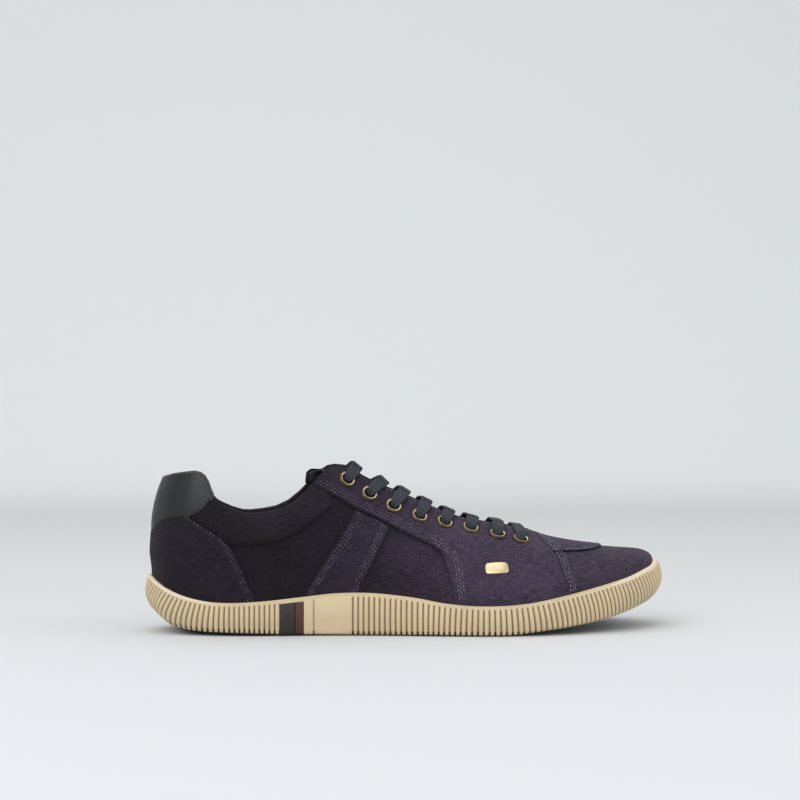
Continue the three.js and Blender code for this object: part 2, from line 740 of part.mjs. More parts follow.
const eyestayRear = [0.2, eyestayLine[0][1]];
const eyestay = panel([...eyestayLine, lowered(eyestayLine, -1), lowered(toeSeam, 0), ...toeSeam,
  raised(toeSeam, -1), [eyestayRear[0], above], eyestayRear], -reach, reach);
const heelCounter = panel([...tabLine.slice(0, 8), ...counterLine.slice(1),
  lowered(counterLine, -1), lowered(tabLine, 0)], -reach, reach);
const heelTab = panel([...tabLine, raised(tabLine, -1), raised(tabLine, 0)], -reach, reach);
const cuffLines = [...tabLine.slice(7), raised(tabLine, -1), [eyestayRear[0], above], eyestayRear,
  eyestayLine[0], ...padLine.slice().reverse(), ...counterLine.slice(1, 3).reverse()];
const strapLines = [...strapBack, lowered(strapBack, -1), lowered(strapFront, -1),
  ...strapFront.slice().reverse()];
const tabOnToe = (() => {
  const side = toeTab.map((row) => new THREE.Vector2(alongX(row.along), row.half * ballWidth));
  const rear = throat[0].along;
  const behind = sideCutter(sidePoints([...toeSeam, raised(toeSeam, -1), [rear, above],
    [rear, below], lowered(toeSeam, 0)]).map((point) => point.add(new THREE.Vector2(gap / 2, 0))),
  -reach, reach);
  return overlayShell.intersect(planCutter(aboutRidge(side), lipHeight, upperHeight))
    .subtract(behind);
})();

const trimBar = (() => {
  const x = alongX(trimPlace.along);
  const z = trimPlace.height * upperHeight;
  const [w, t] = [trimPlace.width / 2, trimPlace.tall / 2];
  const corner = t / 2;
  const points = [
    [-w + corner, -t], [w - corner, -t], [w, -t + corner], [w, t - corner],
    [w - corner, t], [-w + corner, t], [-w, t - corner], [-w, -t + corner],
  ].map(([dx, dz]) => new THREE.Vector2(x + dx, z + dz));
  const inner = 2 * gap + overlay;
  return lastBody(inner + trimThickness, 0).subtract(lastBody(inner, underBed))
    .intersect(sideCutter(points, -reach, 0));
})();

// Tongue: under the facings it follows the upper, and between them it lies a little crowned. Its
// top end, rear of tongueFreeEnd, draws in from the upper by tongueFree.
const tongueStations = 10;
const tongueAcross = 8;
const tongueEnds = { rear: 0.362, front: 0.745, slant: 0.036 };
const tongueFree = 4;
const tongueFreeEnd = 0.22;
const tongueCrown = 1.2;
const tonguePress = 0.15;
const tongueEdgeLeast = 4;

function tonguePoint(station, across, depth) {
  const middle = tongueEnds.rear + (tongueEnds.front - tongueEnds.rear) * station;
  const share = middle - tongueEnds.slant * Math.abs(across) * (1 - station);
  const side = across < 0 ? 1 : -1;
  const free = tongueFree * (1 - THREE.MathUtils.smoothstep(station, 0, tongueFreeEnd));
  const under = (sign, half) => {
    const v = rowAtHalf(sign * share, half);
    return grownPoint(sign * share, v, -wall - tongueClearance - free - depth);
  };
  const edgeHalf = Math.max(throatHalfAt(lastPoint(share, 1).x), tongueEdgeLeast);
  const half = Math.abs(across) * tongueHalf;
  if (half >= edgeHalf) return flattened(under(side, half), depth);
  const lateral = under(1, edgeHalf);
  const medial = under(-1, edgeHalf);
  const place = (across * tongueHalf / edgeHalf + 1) / 2;
  const point = lateral.lerp(medial, place);
  const crown = tongueCrown * THREE.MathUtils.smoothstep(edgeHalf, throatHalf / 2, throatHalf);
  point.z += crown * Math.sin(Math.PI * place);
  return flattened(point, depth);
}

// What would rise past the top of the tongue is pressed down to a low crown.
function flattened(point, depth) {
  const cap = tongueTop - depth;
  if (point.z > cap) point.z = cap + (point.z - cap) * tonguePress;
  return point;
}

function tongueBody() {
  const grid = (depth) => {
    const list = [];
    for (let i = 0; i <= tongueStations; i += 1) {
      const row = [];
      for (let j = 0; j <= tongueAcross; j += 1) {
        row.push(tonguePoint(i / tongueStations, 2 * j / tongueAcross - 1, depth));
      }
      list.push(row);
    }
    return list;
  };
  return sheetBody(grid(tongueThickness), grid(0));
}

// Eyelet: a barrel through the facing with a flange on top, turned to the facing.
const eyeletProfile = (() => {
  const seat = gap + overlay + eyeletSeat;
  const outer = eyeletHole + eyeletBarrel;
  return [
    [eyeletHole, -wall], [outer, -wall], [outer, seat], [eyeletFlange, seat],
    [eyeletHole, seat + eyeletRim], [eyeletHole, -wall],
  ].map(([x, y]) => new THREE.Vector2(x, y));
})();

// Lace bars: from an eyelet up over the facing, across the throat and down to its fellow.
const overFlange = gap + overlay + eyeletSeat + eyeletRim + laceClearance;
const overFacing = gap + overlay + laceClearance;
const climbSteps = [
  { part: 0, lift: overFlange },
  { part: 0.36, lift: overFlange },
  { part: 0.68, lift: (overFlange + overFacing) / 2 },
  { part: 1, lift: overFacing },
];

const laceHalfLeast = 3;
const approaches = 8;

// Where the lace from an eyelet goes over the edge of the facing: its share and its v.
function overEdge(eyelet, place, side) {
  const edgeX = alongX(eyelet.along) + eyelet.lean * laceLean;
  const half = Math.max(throatHalfAt(edgeX), laceHalfLeast);
  let share = place.share;
  for (let i = 0; i < approaches; i += 1) {
    share += side * (edgeX - lastPoint(share, rowAtHalf(share, half)).x) / lastLength;
  }
  return { share, v: rowAtHalf(share, half, overFacing) };
}

function laceBar(index) {
  const climb = (side) => {
    const { place } = eyeletPlaces[2 * index + (side > 0 ? 0 : 1)];
    const edge = overEdge(eyelets[index], place, side);
    return climbSteps.map(({ part, lift }) => {
      const share = place.share + (edge.share - place.share) * part;
      const v = place.v + (edge.v - place.v) * part;
      return { point: grownPoint(share, v, lift), normal: lastNormal(share, v) };
    });
  };
  const near = climb(1);
  const far = climb(-1).reverse();
  const ends = [near.at(-1), far[0]];
  const middle = {
    point: ends[0].point.clone().lerp(ends[1].point, 0.5)
      .add(new THREE.Vector3(0, 0, laceThickness / 2)),
    normal: ends[0].normal.clone().add(ends[1].normal).normalize(),
  };
  for (const end of ends) end.normal.add(middle.normal).normalize();
  const path = [...near, middle, ...far];
  const strip = (lift) => path.map((at, i) => {
    const [before, after] = [path[Math.max(i - 1, 0)], path[Math.min(i + 1, path.length - 1)]];
    const width = after.point.clone().sub(before.point).cross(at.normal).normalize();
    return [-0.5, 0.5].map((k) =>
      at.point.clone().addScaledVector(width, k * laceWidth).addScaledVector(at.normal, lift));
  });
  return sheetBody(strip(laceThickness), strip(0));
}

add('outsole', meshOf(outsoleBody()), rubber);
add('inlay_dark', meshOf(inlayBody(darkInlay)), darkRubber);
add('inlay_red', meshOf(inlayBody(redInlay)), redRubber);
add('insole', meshOf(insoleBody()), lining);
add('upper', meshOf(upper), canvas);
add('tongue', meshOf(tongueBody()), canvas);
add('eyestay', meshOf(eyestay), overlayCanvas);
add('heel_counter', meshOf(heelCounter), overlayCanvas);
add('heel_tab', meshOf(heelTab), leather);
add('cuff_lateral', meshOf(panel(cuffLines, -reach, 0)), canvas);
add('cuff_medial', meshOf(panel(cuffLines, 0, reach)), canvas);
add('strap_lateral', meshOf(panel(strapLines, -reach, 0)), overlayCanvas);
add('strap_medial', meshOf(panel(strapLines, 0, reach)), overlayCanvas);
add('toe_tab', meshOf(tabOnToe), overlayCanvas);
add('trim_bar', meshOf(trimBar), brass);
for (const { name, point, turn } of eyeletPlaces) {
  const ring = add(name, new THREE.LatheGeometry(eyeletProfile, holeSides), brass);
  ring.position.copy(point);
  ring.quaternion.copy(turn);
}
for (let i = 0; i < eyelets.length; i += 1) add(`lace_bar_${i + 1}`, meshOf(laceBar(i)), lace);

export default shoe;
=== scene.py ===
"""Canvas lace-up sneaker, right foot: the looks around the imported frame.

Shapes are worked out in millimetres and written to the meshes in metres. A place on the upper
is given by share and v, as in the part's source: share runs from 0 at the heel round the lateral
side to 1 at the toe, and round the medial side to -1. v runs from 0 at the sole's edge to 1 at
the ridge or the ankle, and past 1 down the other side.
"""
import math

import bmesh
import bpy
import numpy as np
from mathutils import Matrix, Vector


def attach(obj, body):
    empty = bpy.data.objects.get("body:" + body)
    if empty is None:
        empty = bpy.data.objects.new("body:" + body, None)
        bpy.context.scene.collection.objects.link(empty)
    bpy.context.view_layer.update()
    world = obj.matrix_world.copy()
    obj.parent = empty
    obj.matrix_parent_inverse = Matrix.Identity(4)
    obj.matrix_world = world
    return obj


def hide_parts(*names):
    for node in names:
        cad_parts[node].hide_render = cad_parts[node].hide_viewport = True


MM = 0.001
HALVINGS = 15  # when a place is found by halving
WELD = 0.0005  # points of a mesh nearer than this are one, in millimetres

# Driving sizes, the part's own
LAST_LENGTH = 284.6
BALL_WIDTH = 96
ANKLE_WIDTH = 54
UPPER_HEIGHT = 92
LIP_HEIGHT = 23.3
BED_HEIGHT = 13
TOE_SPRING = 15.8
FLARE = 3.5
WALL = 2
OVERLAY = 1.2
GAP = 0.3
COLLAR_TILT = 0.02
THROAT_HALF = 13
LIP_DEPTH = 1.4
RIB_MIDDLE = 4.4
RIB_PITCH = 2.86
END_TUCK = 5
INSOLE_THICKNESS = 3
TONGUE_HALF = 24
TONGUE_TOP = 88.5
LACE_WIDTH = 7
LACE_THICKNESS = 1.6
LACE_LEAN = 9
STITCH_PITCH = 2.1
CLOTH_LENGTH = 330  # round one side, for the cloth's own measure


def rows(text):
    """A table of numbers, one row to a line of the text."""
    return np.array([line.split() for line in text.strip().splitlines()], float)


# The upper where it meets the sole, from above: along, lateral, medial
OUTLINE = rows("""
    0     0     0
    0.02  0.152 0.152
    0.05  0.238 0.238
    0.10  0.303 0.303
    0.18  0.340 0.338
    0.30  0.352 0.330
    0.42  0.382 0.318
    0.52  0.436 0.350
    0.62  0.488 0.422
    0.70  0.502 0.478
    0.78  0.474 0.498
    0.86  0.392 0.464
    0.92  0.302 0.408
    0.96  0.208 0.338
    0.985 0.108 0.256
""")
TOE_POINT = (1, 0.085)

# The sole's edge: share, height, tuck, swell
LIP_LINE = rows("""
    0     1.350 1    0.88
    0.045 1.175 0.9  0.88
    0.100 0.905 0.5  0.92
    0.155 0.778 0.15 0.96
    0.222 0.795 0    1
    0.300 0.905 0    1
    0.350 0.985 0    1
    0.410 0.995 0    1
    0.480 0.900 0    1
    0.538 0.760 0    1
    0.600 0.700 0    1
    0.670 0.750 0    1
    0.740 0.920 0    1
    0.812 1.120 0.1  1
    0.862 1.260 0.3  1
    0.910 1.430 0.6  1.08
    0.955 1.560 0.9  1.25
    1     1.620 1    1.38
""")

# The sole along its length: along, under, bed
BED_LINE = rows("""
    -0.02 0.34 1
    0.02  0.14 1
    0.05  0.05 1
    0.09  0    1
    0.30  0    0.96
    0.50  0    0.84
    0.66  0    0.74
    0.758 0.18 0.86
    0.824 0.33 1.02
    0.873 0.46 1.17
    0.926 0.67 1.42
    0.978 0.90 1.70
    1.02  1.08 1.92
""")

# Sections of the last: share, topAlong, topHalf, ridge, topHeight, rise, swell, lead, drop
SECTIONS = rows("""
    0    0.054 0     0     1.087 0.35 0.10 0.87 0.29
    0.06 0.068 0.23  0     1.087 0.34 0.40 0.80 0.30
    0.13 0.112 0.385 0     1.087 0.33 0.70 0.70 0.32
    0.22 0.194 0.425 0     1.087 0.33 0.92 0.60 0.34
    0.32 0.299 0.335 0     1.087 0.35 1    0.78 0.30
    0.42 0.408 0.150 0     1.012 0.33 0.80 0.60 0.39
    0.50 0.502 0.140 0     0.858 0.37 0.80 0.55 0.36
    0.58 0.596 0.110 0     0.722 0.34 0.72 0.57 0.335
    0.66 0.691 0.060 0.008 0.645 0.33 0.58 0.60 0.25
    0.74 0.775 0     0.021 0.551 0.37 0.54 0.62 0.02
    0.82 0.845 0     0.036 0.505 0.42 0.43 0.60 -0.02
    0.90 0.905 0     0.055 0.484 0.42 0.25 0.60 -0.02
    0.96 0.942 0     0.070 0.476 0.45 0.20 0.64 0.01
    1    0.955 0     0.078 0.474 0.48 0.20 0.66 0.03
""")

# Seam lines seen from the side: along, height
COLLAR_LINE = rows("""
    -0.060 0.905
    0.026 0.920
    0.043 0.934
    0.066 0.943
    0.083 0.947
    0.094 0.940
    0.103 0.920
    0.110 0.886
    0.115 0.842
    0.121 0.802
    0.129 0.774
    0.141 0.750
    0.157 0.726
    0.180 0.705
    0.198 0.704
    0.221 0.712
    0.246 0.727
    0.271 0.763
    0.293 0.823
    0.308 0.877
    0.333 0.962
    0.346 0.992
    0.360 1.000
    0.382 0.994
    0.410 0.985
    0.430 1.000
""")
TAB_LINE = rows("""
    -0.068 0.580
    -0.009 0.578
    0.008 0.613
    0.015 0.644
    0.025 0.670
    0.035 0.684
    0.053 0.692
    0.075 0.694
    0.089 0.719
    0.100 0.741
    0.107 0.768
    0.112 0.792
    0.148 0.795
""")
COUNTER_LINE = rows("""
    0.075 0.694
    0.094 0.655
    0.121 0.604
    0.146 0.548
    0.160 0.487
    0.172 0.418
    0.182 0.346
    0.189 0.286
    0.199 0.215
    0.210 0
""")
PAD_LINE = rows("""
    0.146 0.548
    0.170 0.539
    0.191 0.537
    0.215 0.545
    0.241 0.558
    0.273 0.598
    0.307 0.667
    0.333 0.729
    0.362 0.795
""")
EYESTAY_LINE = rows("""
    0.303 0.896
    0.362 0.795
    0.390 0.744
    0.439 0.672
    0.470 0.623
    0.505 0.568
    0.540 0.516
    0.561 0.471
    0.571 0.428
    0.575 0.381
    0.577 0.306
    0.582 0.180
    0.592 0
""")
STRAP_BACK = rows("""
    0.393 0.738
    0.366 0.607
    0.333 0.446
    0.300 0.284
    0.295 0.246
    0.283 0
""")
STRAP_FRONT = rows("""
    0.461 0.637
    0.438 0.505
    0.418 0.385
    0.401 0.274
    0.392 0
""")
TOE_SEAM = rows("""
    0.804 0
    0.797 0.269
    0.791 0.318
    0.786 0.383
    0.782 0.446
    0.775 0.487
    0.764 0.519
    0.757 0.562
    0.753 0.600
""")

# The throat and the tab on the toe, from above: along, half
THROAT = rows("""
    0.300 1.06
    0.360 1
    0.500 0.94
    0.600 0.84
    0.669 0.70
    0.708 0.54
    0.729 0.34
    0.738 0
""")
TOE_TAB = rows("""
    0.740 0.31
    0.785 0.295
    0.830 0.255
    0.859 0.21
    0.878 0.15
    0.891 0.075
    0.895 0
""")

# Eyelets from the ankle to the toe: along, height, lean
EYELETS = rows("""
    0.377 0.912 0.70
    0.421 0.826 1
    0.468 0.751 0.80
    0.518 0.689 0.55
    0.568 0.648 0.40
    0.620 0.611 0.25
    0.673 0.573 0.15
    0.718 0.541 0
""")
PANEL = (0.2605, 0.378)  # the sole's smooth panel, as shares
INLAY_DARK = (0.2605, 0.2862)
INLAY_RED = (0.2862, 0.3006)
TRIM = {"along": 0.6605, "height": 0.383, "width": 13, "tall": 5.5}

# Creases of the cloth: along, height at both ends, side, half width and depth in millimetres
# (above 0 sinks)
CREASES = rows("""
    0.215 0.500 0.290 0.330  1 5   0.7
    0.240 0.420 0.285 0.250  1 4   0.5
    0.190 0.470 0.215 0.300  1 4   0.5
    0.455 0.560 0.430 0.330  1 6   0.6
    0.520 0.470 0.500 0.300  1 6   0.5
    0.480 0.520 0.455 0.300  1 4   -0.4
    0.600 0.520 0.640 0.300  1 6   0.6
    0.650 0.500 0.690 0.300  1 6   -0.5
    0.690 0.520 0.735 0.310  1 6   0.7
    0.740 0.500 0.780 0.330  1 5   -0.4
    0.850 0.420 0.900 0.350  1 8   0.6
    0.350 0.620 0.320 0.400  1 7   -0.5
    0.215 0.500 0.290 0.330 -1 5   0.6
    0.480 0.520 0.455 0.300 -1 6   0.5
    0.600 0.520 0.640 0.300 -1 6   0.5
    0.690 0.520 0.735 0.310 -1 6   0.6
    0.850 0.420 0.900 0.350 -1 8   0.6
""")


def smooth(table, at):
    """The other columns of a table at places of its first: a cubic between two rows, each row's
    slope taken from the rows on either side of it."""
    key, rest = table[:, 0], table[:, 1:]
    last_row = len(key) - 1
    at = np.asarray(at, float)
    i = np.clip(np.searchsorted(key, at) - 1, 0, last_row - 1)
    before, after = np.maximum(i - 1, 0), np.minimum(i + 2, last_row)
    span = key[i + 1] - key[i]
    t = np.clip((at - key[i]) / span, 0, 1)[..., None]
    low_slope = (rest[i + 1] - rest[before]) * (span / (key[i + 1] - key[before]))[..., None]
    high_slope = (rest[after] - rest[i]) * (span / (key[after] - key[i]))[..., None]
    return (rest[i] * (2 * t ** 3 - 3 * t ** 2 + 1) + low_slope * (t ** 3 - 2 * t ** 2 + t)
            + rest[i + 1] * (3 * t ** 2 - 2 * t ** 3) + high_slope * (t ** 3 - t ** 2))


def mirrored(table, odd=()):
    """The table carried on past the heel and the toe as its mirror, the odd columns negated."""
    flip = np.ones(table.shape[1])
    flip[[0, *odd]] = -1
    past = (table[-3:-1] * flip)[::-1]
    past[:, 0] += 2
    before = (past * flip)[::-1]
    return np.vstack([before, (table[1:] * flip)[::-1], table, past])


SECTION_TABLE = mirrored(SECTIONS, odd=(2,))
LIP_TABLE = mirrored(LIP_LINE)


def along_x(along):
    return (np.asarray(along) - 0.5) * LAST_LENGTH


def x_to_along(x):
    return x / LAST_LENGTH + 0.5


def outline_side(name):
    """One side of the outline and how far each point lies round it, as a share: a closed curve
    through the table's points, each with the slope between its neighbours."""
    steps = 24
    lateral = np.column_stack([along_x(OUTLINE[:, 0]), -OUTLINE[:, 1] * BALL_WIDTH])
    medial = np.column_stack([along_x(OUTLINE[:, 0]), OUTLINE[:, 2] * BALL_WIDTH])[:0:-1]
    toe = [[along_x(TOE_POINT[0]), TOE_POINT[1] * BALL_WIDTH]]
    points = np.vstack([lateral, toe, medial])
    place = np.arange(len(points) * steps + 1) / steps
    i = np.floor(place).astype(int)
    t = (place - i)[:, None]
    p0, p1, p2, p3 = (points[(i + k) % len(points)] for k in (-1, 0, 1, 2))
    curve = ((2 * t ** 3 - 3 * t ** 2 + 1) * p1 + (t ** 3 - 2 * t ** 2 + t) * (p2 - p0) / 2
             + (3 * t ** 2 - 2 * t ** 3) * p2 + (t ** 3 - t ** 2) * (p3 - p1) / 2)
    toe_at = len(OUTLINE) * steps
    side = curve[:toe_at + 1] if name == "lateral" else curve[toe_at:][::-1]
    length = np.concatenate([[0], np.cumsum(np.linalg.norm(np.diff(side, axis=0), axis=1))])
    return side, length / length[-1], length[-1]


LATERAL, LATERAL_SHARE, LATERAL_LENGTH = outline_side("lateral")
MEDIAL, MEDIAL_SHARE, MEDIAL_LENGTH = outline_side("medial")


def outline_point(share):
    """The outline from above at a share, as x and y."""
    wrapped = np.where(share > 1, share - 2, np.where(share < -1, share + 2, share))
    here = np.abs(wrapped)
    lateral = [np.interp(here, LATERAL_SHARE, LATERAL[:, k]) for k in (0, 1)]
    medial = [np.interp(here, MEDIAL_SHARE, MEDIAL[:, k]) for k in (0, 1)]
    return np.stack([np.where(wrapped >= 0, a, b) for a, b in zip(lateral, medial)], -1)


def rim(share, outset, z):
    """The outline moved outwards in plan by outset, at height z."""
    run = outline_point(share + 0.004) - outline_point(share - 0.004)
    run /= np.linalg.norm(run, axis=-1, keepdims=True)
    point = outline_point(share)
    x = point[..., 0] + run[..., 1] * outset
    y = point[..., 1] - run[..., 0] * outset
    return np.stack([x, y, np.broadcast_to(z, x.shape)], -1)


def lip_z(share):
    return smooth(LIP_TABLE, share)[..., 0] * LIP_HEIGHT


# How high the ribs' feet stand above the ground, by place along the shoe
FEET = ([0, 0.012, 0.03, 0.05, 0.07, 0.105, 0.19, 0.26, 0.4, 1],
        [11.5, 8.8, 5.6, 4, 3.2, 2.5, 2, 1.2, 0.8, 0.9])
FEET_STEP = 1.2  # how far the underside lies below the ribs' feet round the heel


def under_z(x):
    """The underside's height: the table's rise at the toe, and at the heel that of the feet."""
    along = x_to_along(x)
    toe = smooth(BED_LINE, along)[..., 0] * TOE_SPRING
    heel = (np.interp(along, *FEET) - FEET_STEP) * (1 - smoothstep(along, 0.10, 0.20))
    return np.maximum(np.maximum(toe, heel), 0)


def bed_z(x):
    return smooth(BED_LINE, x_to_along(x))[..., 1] * BED_HEIGHT


def smoothstep(value, low, high):
    t = np.clip((value - low) / (high - low), 0, 1)
    return t * t * (3 - 2 * t)


def last(share, v):
    """A point of the last: a cubic from the sole's edge to the ridge or the ankle. Below v = 0 it
    runs straight down, past v = 1 it is the other side's. Ahead of the throat both sides meet."""
    share, v = np.broadcast_arrays(np.asarray(share, float), np.asarray(v, float))
    share = np.where(v > 1, -share, share)
    v = np.where(v > 1, 2 - v, v)
    along, half, ridge, height, rise, swell, lead, drop = np.moveaxis(smooth(SECTION_TABLE, share), -1, 0)
    half = half * (1 - smoothstep(np.abs(share), 0.67, 0.70))
    foot = rim(share, 0, lip_z(share))
    top = np.stack([along_x(along), ridge * BALL_WIDTH - half * ANKLE_WIDTH, height * UPPER_HEIGHT], -1)
    tall = top[..., 2] - foot[..., 2]
    lower = rim(share, swell * FLARE, foot[..., 2] + rise * tall)
    upper = top + (foot - top) * lead[..., None]
    upper[..., 2] = top[..., 2] - drop * tall
    t = np.clip(v, 0, 1)[..., None]
    point = (foot * (1 - t) ** 3 + 3 * lower * t * (1 - t) ** 2 + 3 * upper * t ** 2 * (1 - t)
             + top * t ** 3)
    point[..., 2] += np.minimum(v, 0) * tall
    return point


def rounded(part):
    """The height of a quarter of an ellipse: 0 at its foot, 1 from part = 1 on."""
    return np.sqrt(np.clip(1 - (1 - np.clip(part, 0, 1)) ** 2, 0, 1))


def unit(vectors):
    return vectors / np.maximum(np.linalg.norm(vectors, axis=-1, keepdims=True), 1e-9)


def facing(share, v):
    """The outward direction of the last, square to its run round the shoe and up the section."""
    step = 0.004
    around = last(share + step, v) - last(share - step, v)
    up = last(share, v + step) - last(share, v - step)
    return unit(np.cross(around, up))


def halved(test, low, high):
    """The largest value from low to high for which the test is true, found by halving."""
    low, high = np.broadcast_arrays(np.asarray(low, float), np.asarray(high, float))
    for _ in range(HALVINGS):
        middle = (low + high) / 2
        passed = test(middle)
        low, high = np.where(passed, middle, low), np.where(passed, high, middle)
    return low


def place(side, along, height):
    """The share and v of a place seen from the side: v is halved to the height inside the
    halving of the share to the place along the shoe."""
    x, z = along_x(along), np.asarray(height) * UPPER_HEIGHT

    def row_of(share):
        return halved(lambda v: last(share, v)[..., 2] < z, np.zeros_like(x), np.ones_like(x))

    share = halved(lambda s: last(side * s, row_of(side * s))[..., 0] < x, np.zeros_like(x), np.ones_like(x))
    return np.stack([side * share, row_of(side * share)], -1)


def curve_through(points, count):
    """A line through points, each with the slope between its neighbours, at even steps."""
    table = np.column_stack([np.arange(len(points)), points])
    return smooth(table, np.linspace(0, len(points) - 1, count))


def collar_z(x):
    free = 2.0
    line = np.interp(x_to_along(x), COLLAR_LINE[:, 0], COLLAR_LINE[:, 1])
    return np.where(x_to_along(x) > COLLAR_LINE[-1, 0], free, line) * UPPER_HEIGHT


def ridge_y(x):
    ridge = SECTIONS[:, [1, 3]]
    return smooth(ridge, x_to_along(x))[..., 0] * BALL_WIDTH


def throat_half(x):
    return smooth(THROAT, x_to_along(x))[..., 0] * THROAT_HALF


def top_v(share):
    """The v where the upper ends: below the collar line and outside the throat."""
    def within(v):
        point = last(share, v)
        x, y, z = np.moveaxis(point, -1, 0)
        clear = (x < along_x(THROAT[0, 0])) | (np.abs(y - ridge_y(x)) > throat_half(x))
        return (z + COLLAR_TILT * y < collar_z(x)) & clear

    ends = halved(within, np.zeros_like(share), np.ones_like(share))
    return np.where(np.abs(share) >= THROAT_END, 1, ends)


THROAT_END = float(halved(lambda s: last(s, np.ones(1))[..., 0] < along_x(THROAT[-1, 0]),
                          np.array([0.6]), np.array([0.8]))[0])


def crease_lines():
    """Each crease's first end and run on the last, with its width and depth."""
    along0, height0, along1, height1, side, width, depth = CREASES.T
    start, stop = place(side, along0, height0), place(side, along1, height1)
    a, b = last(start[:, 0], start[:, 1]), last(stop[:, 0], stop[:, 1])
    return list(zip(a, b - a, width, depth))


CREASE_LINES = crease_lines()


def crease(points):
    """How far the cloth sinks at the points: each crease is a soft trough along the line between
    its two ends, its depth falling off with the distance as a bell."""
    sink = np.zeros(points.shape[:-1])
    for a, run, width, depth in CREASE_LINES:
        t = np.clip((points - a) @ run / (run @ run), 0, 1)
        away = np.linalg.norm(points - (a + t[..., None] * run), axis=-1)
        sink += depth * np.exp(-(away / width) ** 2)
    return sink


def grown(share, v, grow, sunk=True):
    """The last's point moved out by grow, less the creases."""
    point = last(share, v)
    depth = crease(point) if sunk else 0
    return point + facing(share, v) * (grow - depth)[..., None]


# Meshes. A grid is points in rows and columns, such that its rows cross its columns outwards.

def grid(points, uv=None, material=0, **values):
    """One grid of points of a mesh, with its cloth measure in millimetres and its values."""
    shape = points.shape[:2]
    flat = np.zeros((*shape, 2)) if uv is None else uv
    return {"points": points, "uv": flat, "material": material, "values": values}


def put(name, grids, node=None, materials=(), keys=()):
    """One mesh object of several grids: four-cornered faces between neighbouring points, points
    that lie on each other made one, and all faces turned outwards."""
    start, points, uvs, faces, kinds = 0, [], [], [], []
    for part in grids:
        n, m = part["points"].shape[:2]
        index = start + np.arange(n * m).reshape(n, m)
        corners = [index[:-1, :-1], index[1:, :-1], index[1:, 1:], index[:-1, 1:]]
        faces.append(np.stack(corners, -1).reshape(-1, 4))
        kinds.append(np.full(len(faces[-1]), part["material"]))
        points.append(part["points"].reshape(-1, 3))
        uvs.append(part["uv"].reshape(-1, 2))
        start += n * m
    points, uvs, faces = np.vstack(points), np.vstack(uvs), np.vstack(faces)
    mesh = bpy.data.meshes.new(name)
    mesh.vertices.add(len(points))
    mesh.vertices.foreach_set("co", (points * MM).astype(np.float32).ravel())
    mesh.loops.add(faces.size)
    mesh.loops.foreach_set("vertex_index", faces.astype(np.int32).ravel())
    mesh.polygons.add(len(faces))
    mesh.polygons.foreach_set("loop_start", np.arange(0, faces.size, 4, dtype=np.int32))
    mesh.polygons.foreach_set("material_index", np.concatenate(kinds).astype(np.int32))
    layer = mesh.uv_layers.new(name="cloth")
    layer.data.foreach_set("uv", (uvs[faces.ravel()] * MM).astype(np.float32).ravel())
    for key in keys:
        parts = [part["values"].get(key, np.zeros(part["points"].shape[:2])) for part in grids]
        value = np.concatenate([np.broadcast_to(a, g["points"].shape[:2]).ravel()
                                for a, g in zip(parts, grids)])
        mesh.attributes.new(key, "FLOAT", "POINT").data.foreach_set("value", value.astype(np.float32))
    for item in materials:
        mesh.materials.append(item)
    mesh.update(calc_edges=True)
    body = bmesh.new()
    body.from_mesh(mesh)
    bmesh.ops.remove_doubles(body, verts=body.verts, dist=WELD * MM)
    bmesh.ops.recalc_face_normals(body, faces=body.faces)
    body.to_mesh(mesh)
    body.free()
    mesh.polygons.foreach_set("use_smooth", np.ones(len(mesh.polygons), bool))
    piece = bpy.data.objects.new(name, mesh)
    bpy.context.scene.collection.objects.link(piece)
    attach(piece, "root")
    if node:
        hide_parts(*([node] if isinstance(node, str) else node))
    return piece


def between(front, back, uv=None, material=0, **values):
    """The grids of a closed body between a front and a back grid: both, and a strip round the
    borders, which vanishes where the two meet."""
    borders = [np.stack([front[:, 0], back[:, 0]], 1), np.stack([back[:, -1], front[:, -1]], 1),
               np.stack([back[0], front[0]], 1), np.stack([front[-1], back[-1]], 1)]
    return [grid(front, uv, material, **values), grid(back[::-1], None if uv is None else uv[::-1],
                                                      material)] + [grid(b, None, material) for b in borders]


def lengths(points, axis):
    """How far each point of a grid lies along its row or column."""
    step = np.linalg.norm(np.diff(points, axis=axis), axis=-1)
    pad = [(0, 0)] * step.ndim
    pad[axis] = (1, 0)
    return np.pad(np.cumsum(step, axis=axis), pad)


def cloth_uv(spots):
    """The cloth's measure at places: millimetres round the shoe and up from the sole's edge."""
    share, v = spots[..., 0], spots[..., 1]
    return np.stack([share * CLOTH_LENGTH, last(share, v)[..., 2] * 1.2 + v * 10], -1)


def even(spots, at):
    """Places at the shares at of a line's length."""
    length = lengths(last(spots[:, 0], spots[:, 1])[None], 1)[0]
    return np.stack([np.interp(at, length / length[-1], spots[:, k]) for k in (0, 1)], -1)


def clustered(count, edges, length):
    """Shares from 0 to 1, with a row at each of the edge distances from either end."""
    near = np.array(edges) / length
    return np.concatenate([near, np.linspace(near[-1], 1 - near[-1], count)[1:-1], 1 - near[::-1]])


def patch(bottom, top, a, b, left=None, right=None, reach=1.0):
    """Places between a bottom and a top line, ruled from one to the other at the shares a and b,
    and drawn over to the left and right lines near the ends, within reach of them."""
    across = b[None, :, None]
    spots = bottom[:, None] * (1 - across) + top[:, None] * across
    along = a[:, None, None]
    first, final = spots[0].copy(), spots[-1].copy()
    if left is not None:
        spots = spots + np.clip(1 - along / reach, 0, 1) * (left - first)[None]
    if right is not None:
        spots = spots + np.clip(1 - (1 - along) / reach, 0, 1) * (right - final)[None]
    return spots


